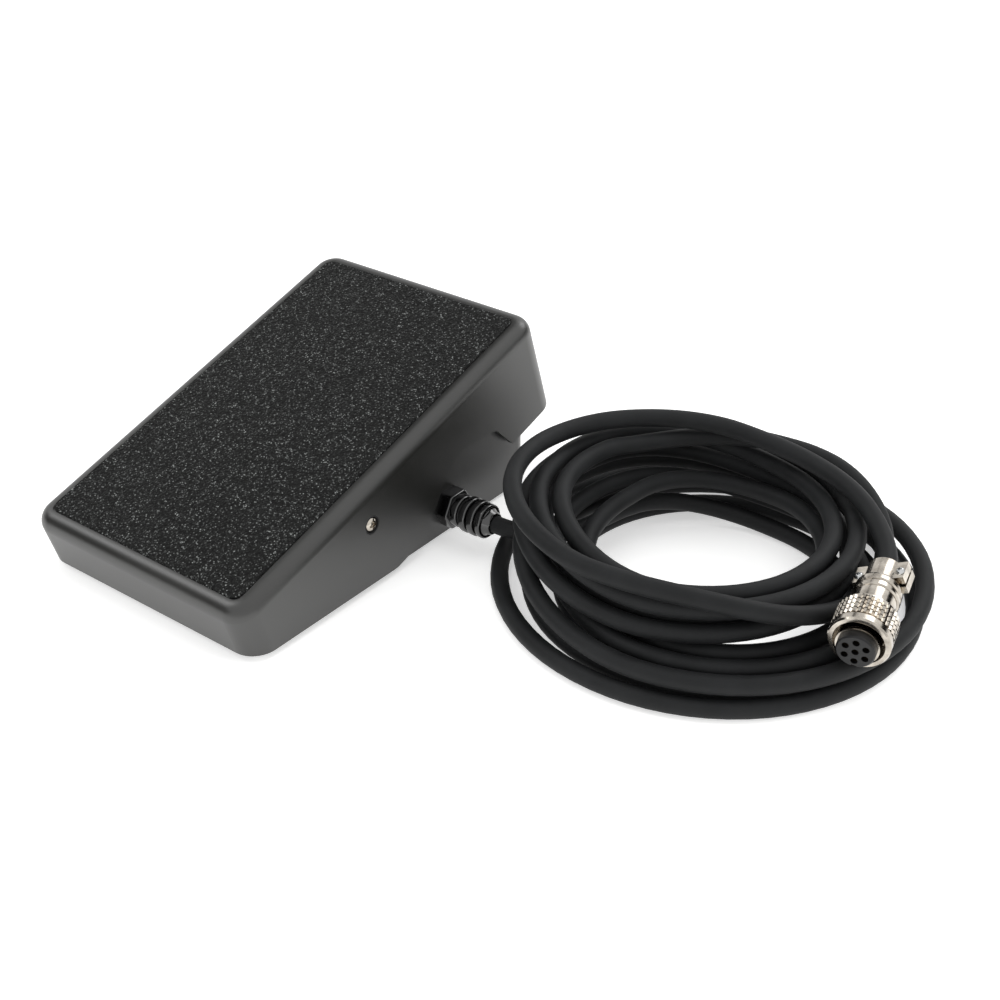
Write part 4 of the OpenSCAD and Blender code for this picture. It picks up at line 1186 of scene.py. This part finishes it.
@dataclass
class Studio:
    """Camera, floor and lamps."""

    eye: Point = (332.53, -325.28, 287.56)
    back: Point = (0.51858, -0.67759, 0.52148)
    roll: float = 0.17
    lens: float = 56.196
    floor_size: float = 12.0
    reach: float = 1.5

    def camera(self) -> None:
        """Adds the camera and makes it the scene's."""
        back = Vector(self.back).normalized()
        right = Vector((0, 0, 1)).cross(back).normalized()
        up = back.cross(right)
        turned = Matrix((right, up, back)).transposed().to_4x4()
        data = bpy.data.cameras.new("camera")
        data.lens = self.lens
        data.sensor_width = 36
        data.clip_start = 0.01
        data.clip_end = 50
        camera = bpy.data.objects.new("camera", data)
        camera.matrix_world = (
            Matrix.Translation(Vector(self.eye) * MM)
            @ turned
            @ Matrix.Rotation(math.radians(self.roll), 4, "Z")
        )
        bpy.context.scene.collection.objects.link(camera)
        bpy.context.scene.camera = camera

    def floor(self) -> None:
        """Adds the paper floor."""
        deselect()
        bpy.ops.mesh.primitive_plane_add(size=self.floor_size)
        floor = new_piece("studio_floor")
        floor.data.materials.append(StudioPaper().build())

    def lamp(
        self, name: str, place: Point, aim: Point, size: float, power: float, shiny: bool = True
    ) -> None:
        """Adds a soft box.

        Args:
            name: The lamp's name.
            place: Where it stands, in metres.
            aim: The point it shines at.
            size: Its side in metres.
            power: Its power in watts.
            shiny: Whether glossy surfaces mirror it.
        """
        data = bpy.data.lights.new(name, "AREA")
        data.shape = "SQUARE"
        data.size = size
        data.energy = power
        lamp = bpy.data.objects.new(name, data)
        lamp.location = place
        lamp.visible_glossy = shiny
        lamp.rotation_euler = (Vector(aim) - Vector(place)).to_track_quat("-Z", "Y").to_euler()
        bpy.context.scene.collection.objects.link(lamp)

    def world(self) -> None:
        """Lights the scene with a pale surround that the camera and glossy faces see as white."""
        world = bpy.data.worlds.new("studio")
        world.use_nodes = True
        bpy.context.scene.world = world
        nodes, links = world.node_tree.nodes, world.node_tree.links
        path = nodes.new("ShaderNodeLightPath")
        most = nodes.new("ShaderNodeMath")
        most.operation = "MAXIMUM"
        links.new(path.outputs["Is Camera Ray"], most.inputs[0])
        links.new(path.outputs["Is Transmission Ray"], most.inputs[1])
        seen = nodes.new("ShaderNodeMath")
        seen.operation = "MAXIMUM"
        links.new(most.outputs[0], seen.inputs[0])
        links.new(path.outputs["Is Glossy Ray"], seen.inputs[1])
        strength = nodes.new("ShaderNodeMapRange")
        strength.inputs["To Min"].default_value = 0.5
        strength.inputs["To Max"].default_value = 1.0
        links.new(seen.outputs[0], strength.inputs["Value"])
        background = nodes["Background"]
        background.inputs["Color"].default_value = (1, 1, 1, 1)
        links.new(strength.outputs["Result"], background.inputs["Strength"])

    def lights(self) -> None:
        """Adds the soft boxes: broad ones that only light, and two small ones that gloss shows."""
        middle = (0.06, 0.0, 0.02)
        self.lamp("top_box", (0.1, 0.2, 1.2), middle, 1.0, 4.5, shiny=False)
        self.lamp("front_box", (-0.3, -1.2, 0.32), middle, 0.6, 8.0, shiny=False)
        self.lamp("right_box", (1.1, 0.5, 0.4), middle, 0.8, 8.0, shiny=False)
        self.lamp("edge_box", (-0.7, -0.35, 0.95), middle, 0.5, 2.2)
        self.lamp("back_box", (0.2, 0.95, 0.8), middle, 0.5, 2.4)

    def card(self, name: str, azimuth: float, elevation: float, size: tuple[float, float]) -> None:
        """Hangs a black card that only shiny surfaces see, to draw dark bands on their edges.

        Args:
            name: The card's name.
            azimuth: Degrees from the front towards the right.
            elevation: Degrees above the floor.
            size: Its width and height in metres.
        """
        away, up = math.radians(azimuth), math.radians(elevation)
        flat = math.cos(up)
        place = Vector((math.sin(away) * flat, -math.cos(away) * flat, math.sin(up)))
        deselect()
        bpy.ops.mesh.primitive_plane_add(size=1, location=place * self.reach)
        card = new_piece(name)
        card.scale = (*size, 1)
        card.rotation_euler = place.to_track_quat("Z", "Y").to_euler()
        settle(card)
        tree = Tree(name + "_velvet")
        tree.shade(Base_Color=linear("#050505"), Roughness=1.0, Specular_IOR_Level=0.0)
        card.data.materials.append(tree.material)
        card.visible_camera = False
        card.visible_diffuse = False
        card.visible_shadow = False

    def cards(self) -> None:
        """Hangs the cards: before the heel, behind the right side, and where the deck looks."""
        for name, azimuth, elevation, width, height in (
            ("heel_card", -45, 20, 1.8, 0.75), ("side_card", 142, 14, 1.5, 0.45),
            ("deck_card", -120, 56, 0.9, 0.9),
        ):
            self.card(name, azimuth, elevation, (width, height))

    def build(self) -> None:
        """Adds the floor, the surround and the lamps."""
        self.floor()
        self.world()
        self.lights()
        self.cards()
        bpy.context.scene.view_settings.view_transform = "Standard"


@dataclass
class Pedal:
    """The whole object, dressed over its frame."""

    palette: Palette = field(default_factory=Palette)

    def dress_nodes(self) -> None:
        """Gives every node of the frame that stays its finish."""
        for finish, names in NODE_FINISH.items():
            for name in names:
                self.palette.dress(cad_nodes()[name], finish)
                LOG.info("node %s: %s", name, finish.name)

    def build(self) -> None:
        """Makes the new pieces and dresses the nodes."""
        Cord().build(self.palette)
        for part in (TreadleShell(), GripPad(), ToeSpring(), Gland()):
            made = part.build(self.palette)
            for piece in made if isinstance(made, list) else [made]:
                LOG.info("piece %s: %d faces", piece.name, len(piece.data.polygons))
        self.dress_nodes()


def main() -> None:
    """Loads the frame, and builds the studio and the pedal."""
    logging.basicConfig(level=logging.INFO, format="%(name)s: %(message)s")
    _FRAME.update(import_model())
    studio = Studio()
    studio.camera()
    Pedal().build()
    studio.build()


if __name__ == "__main__":
    main()
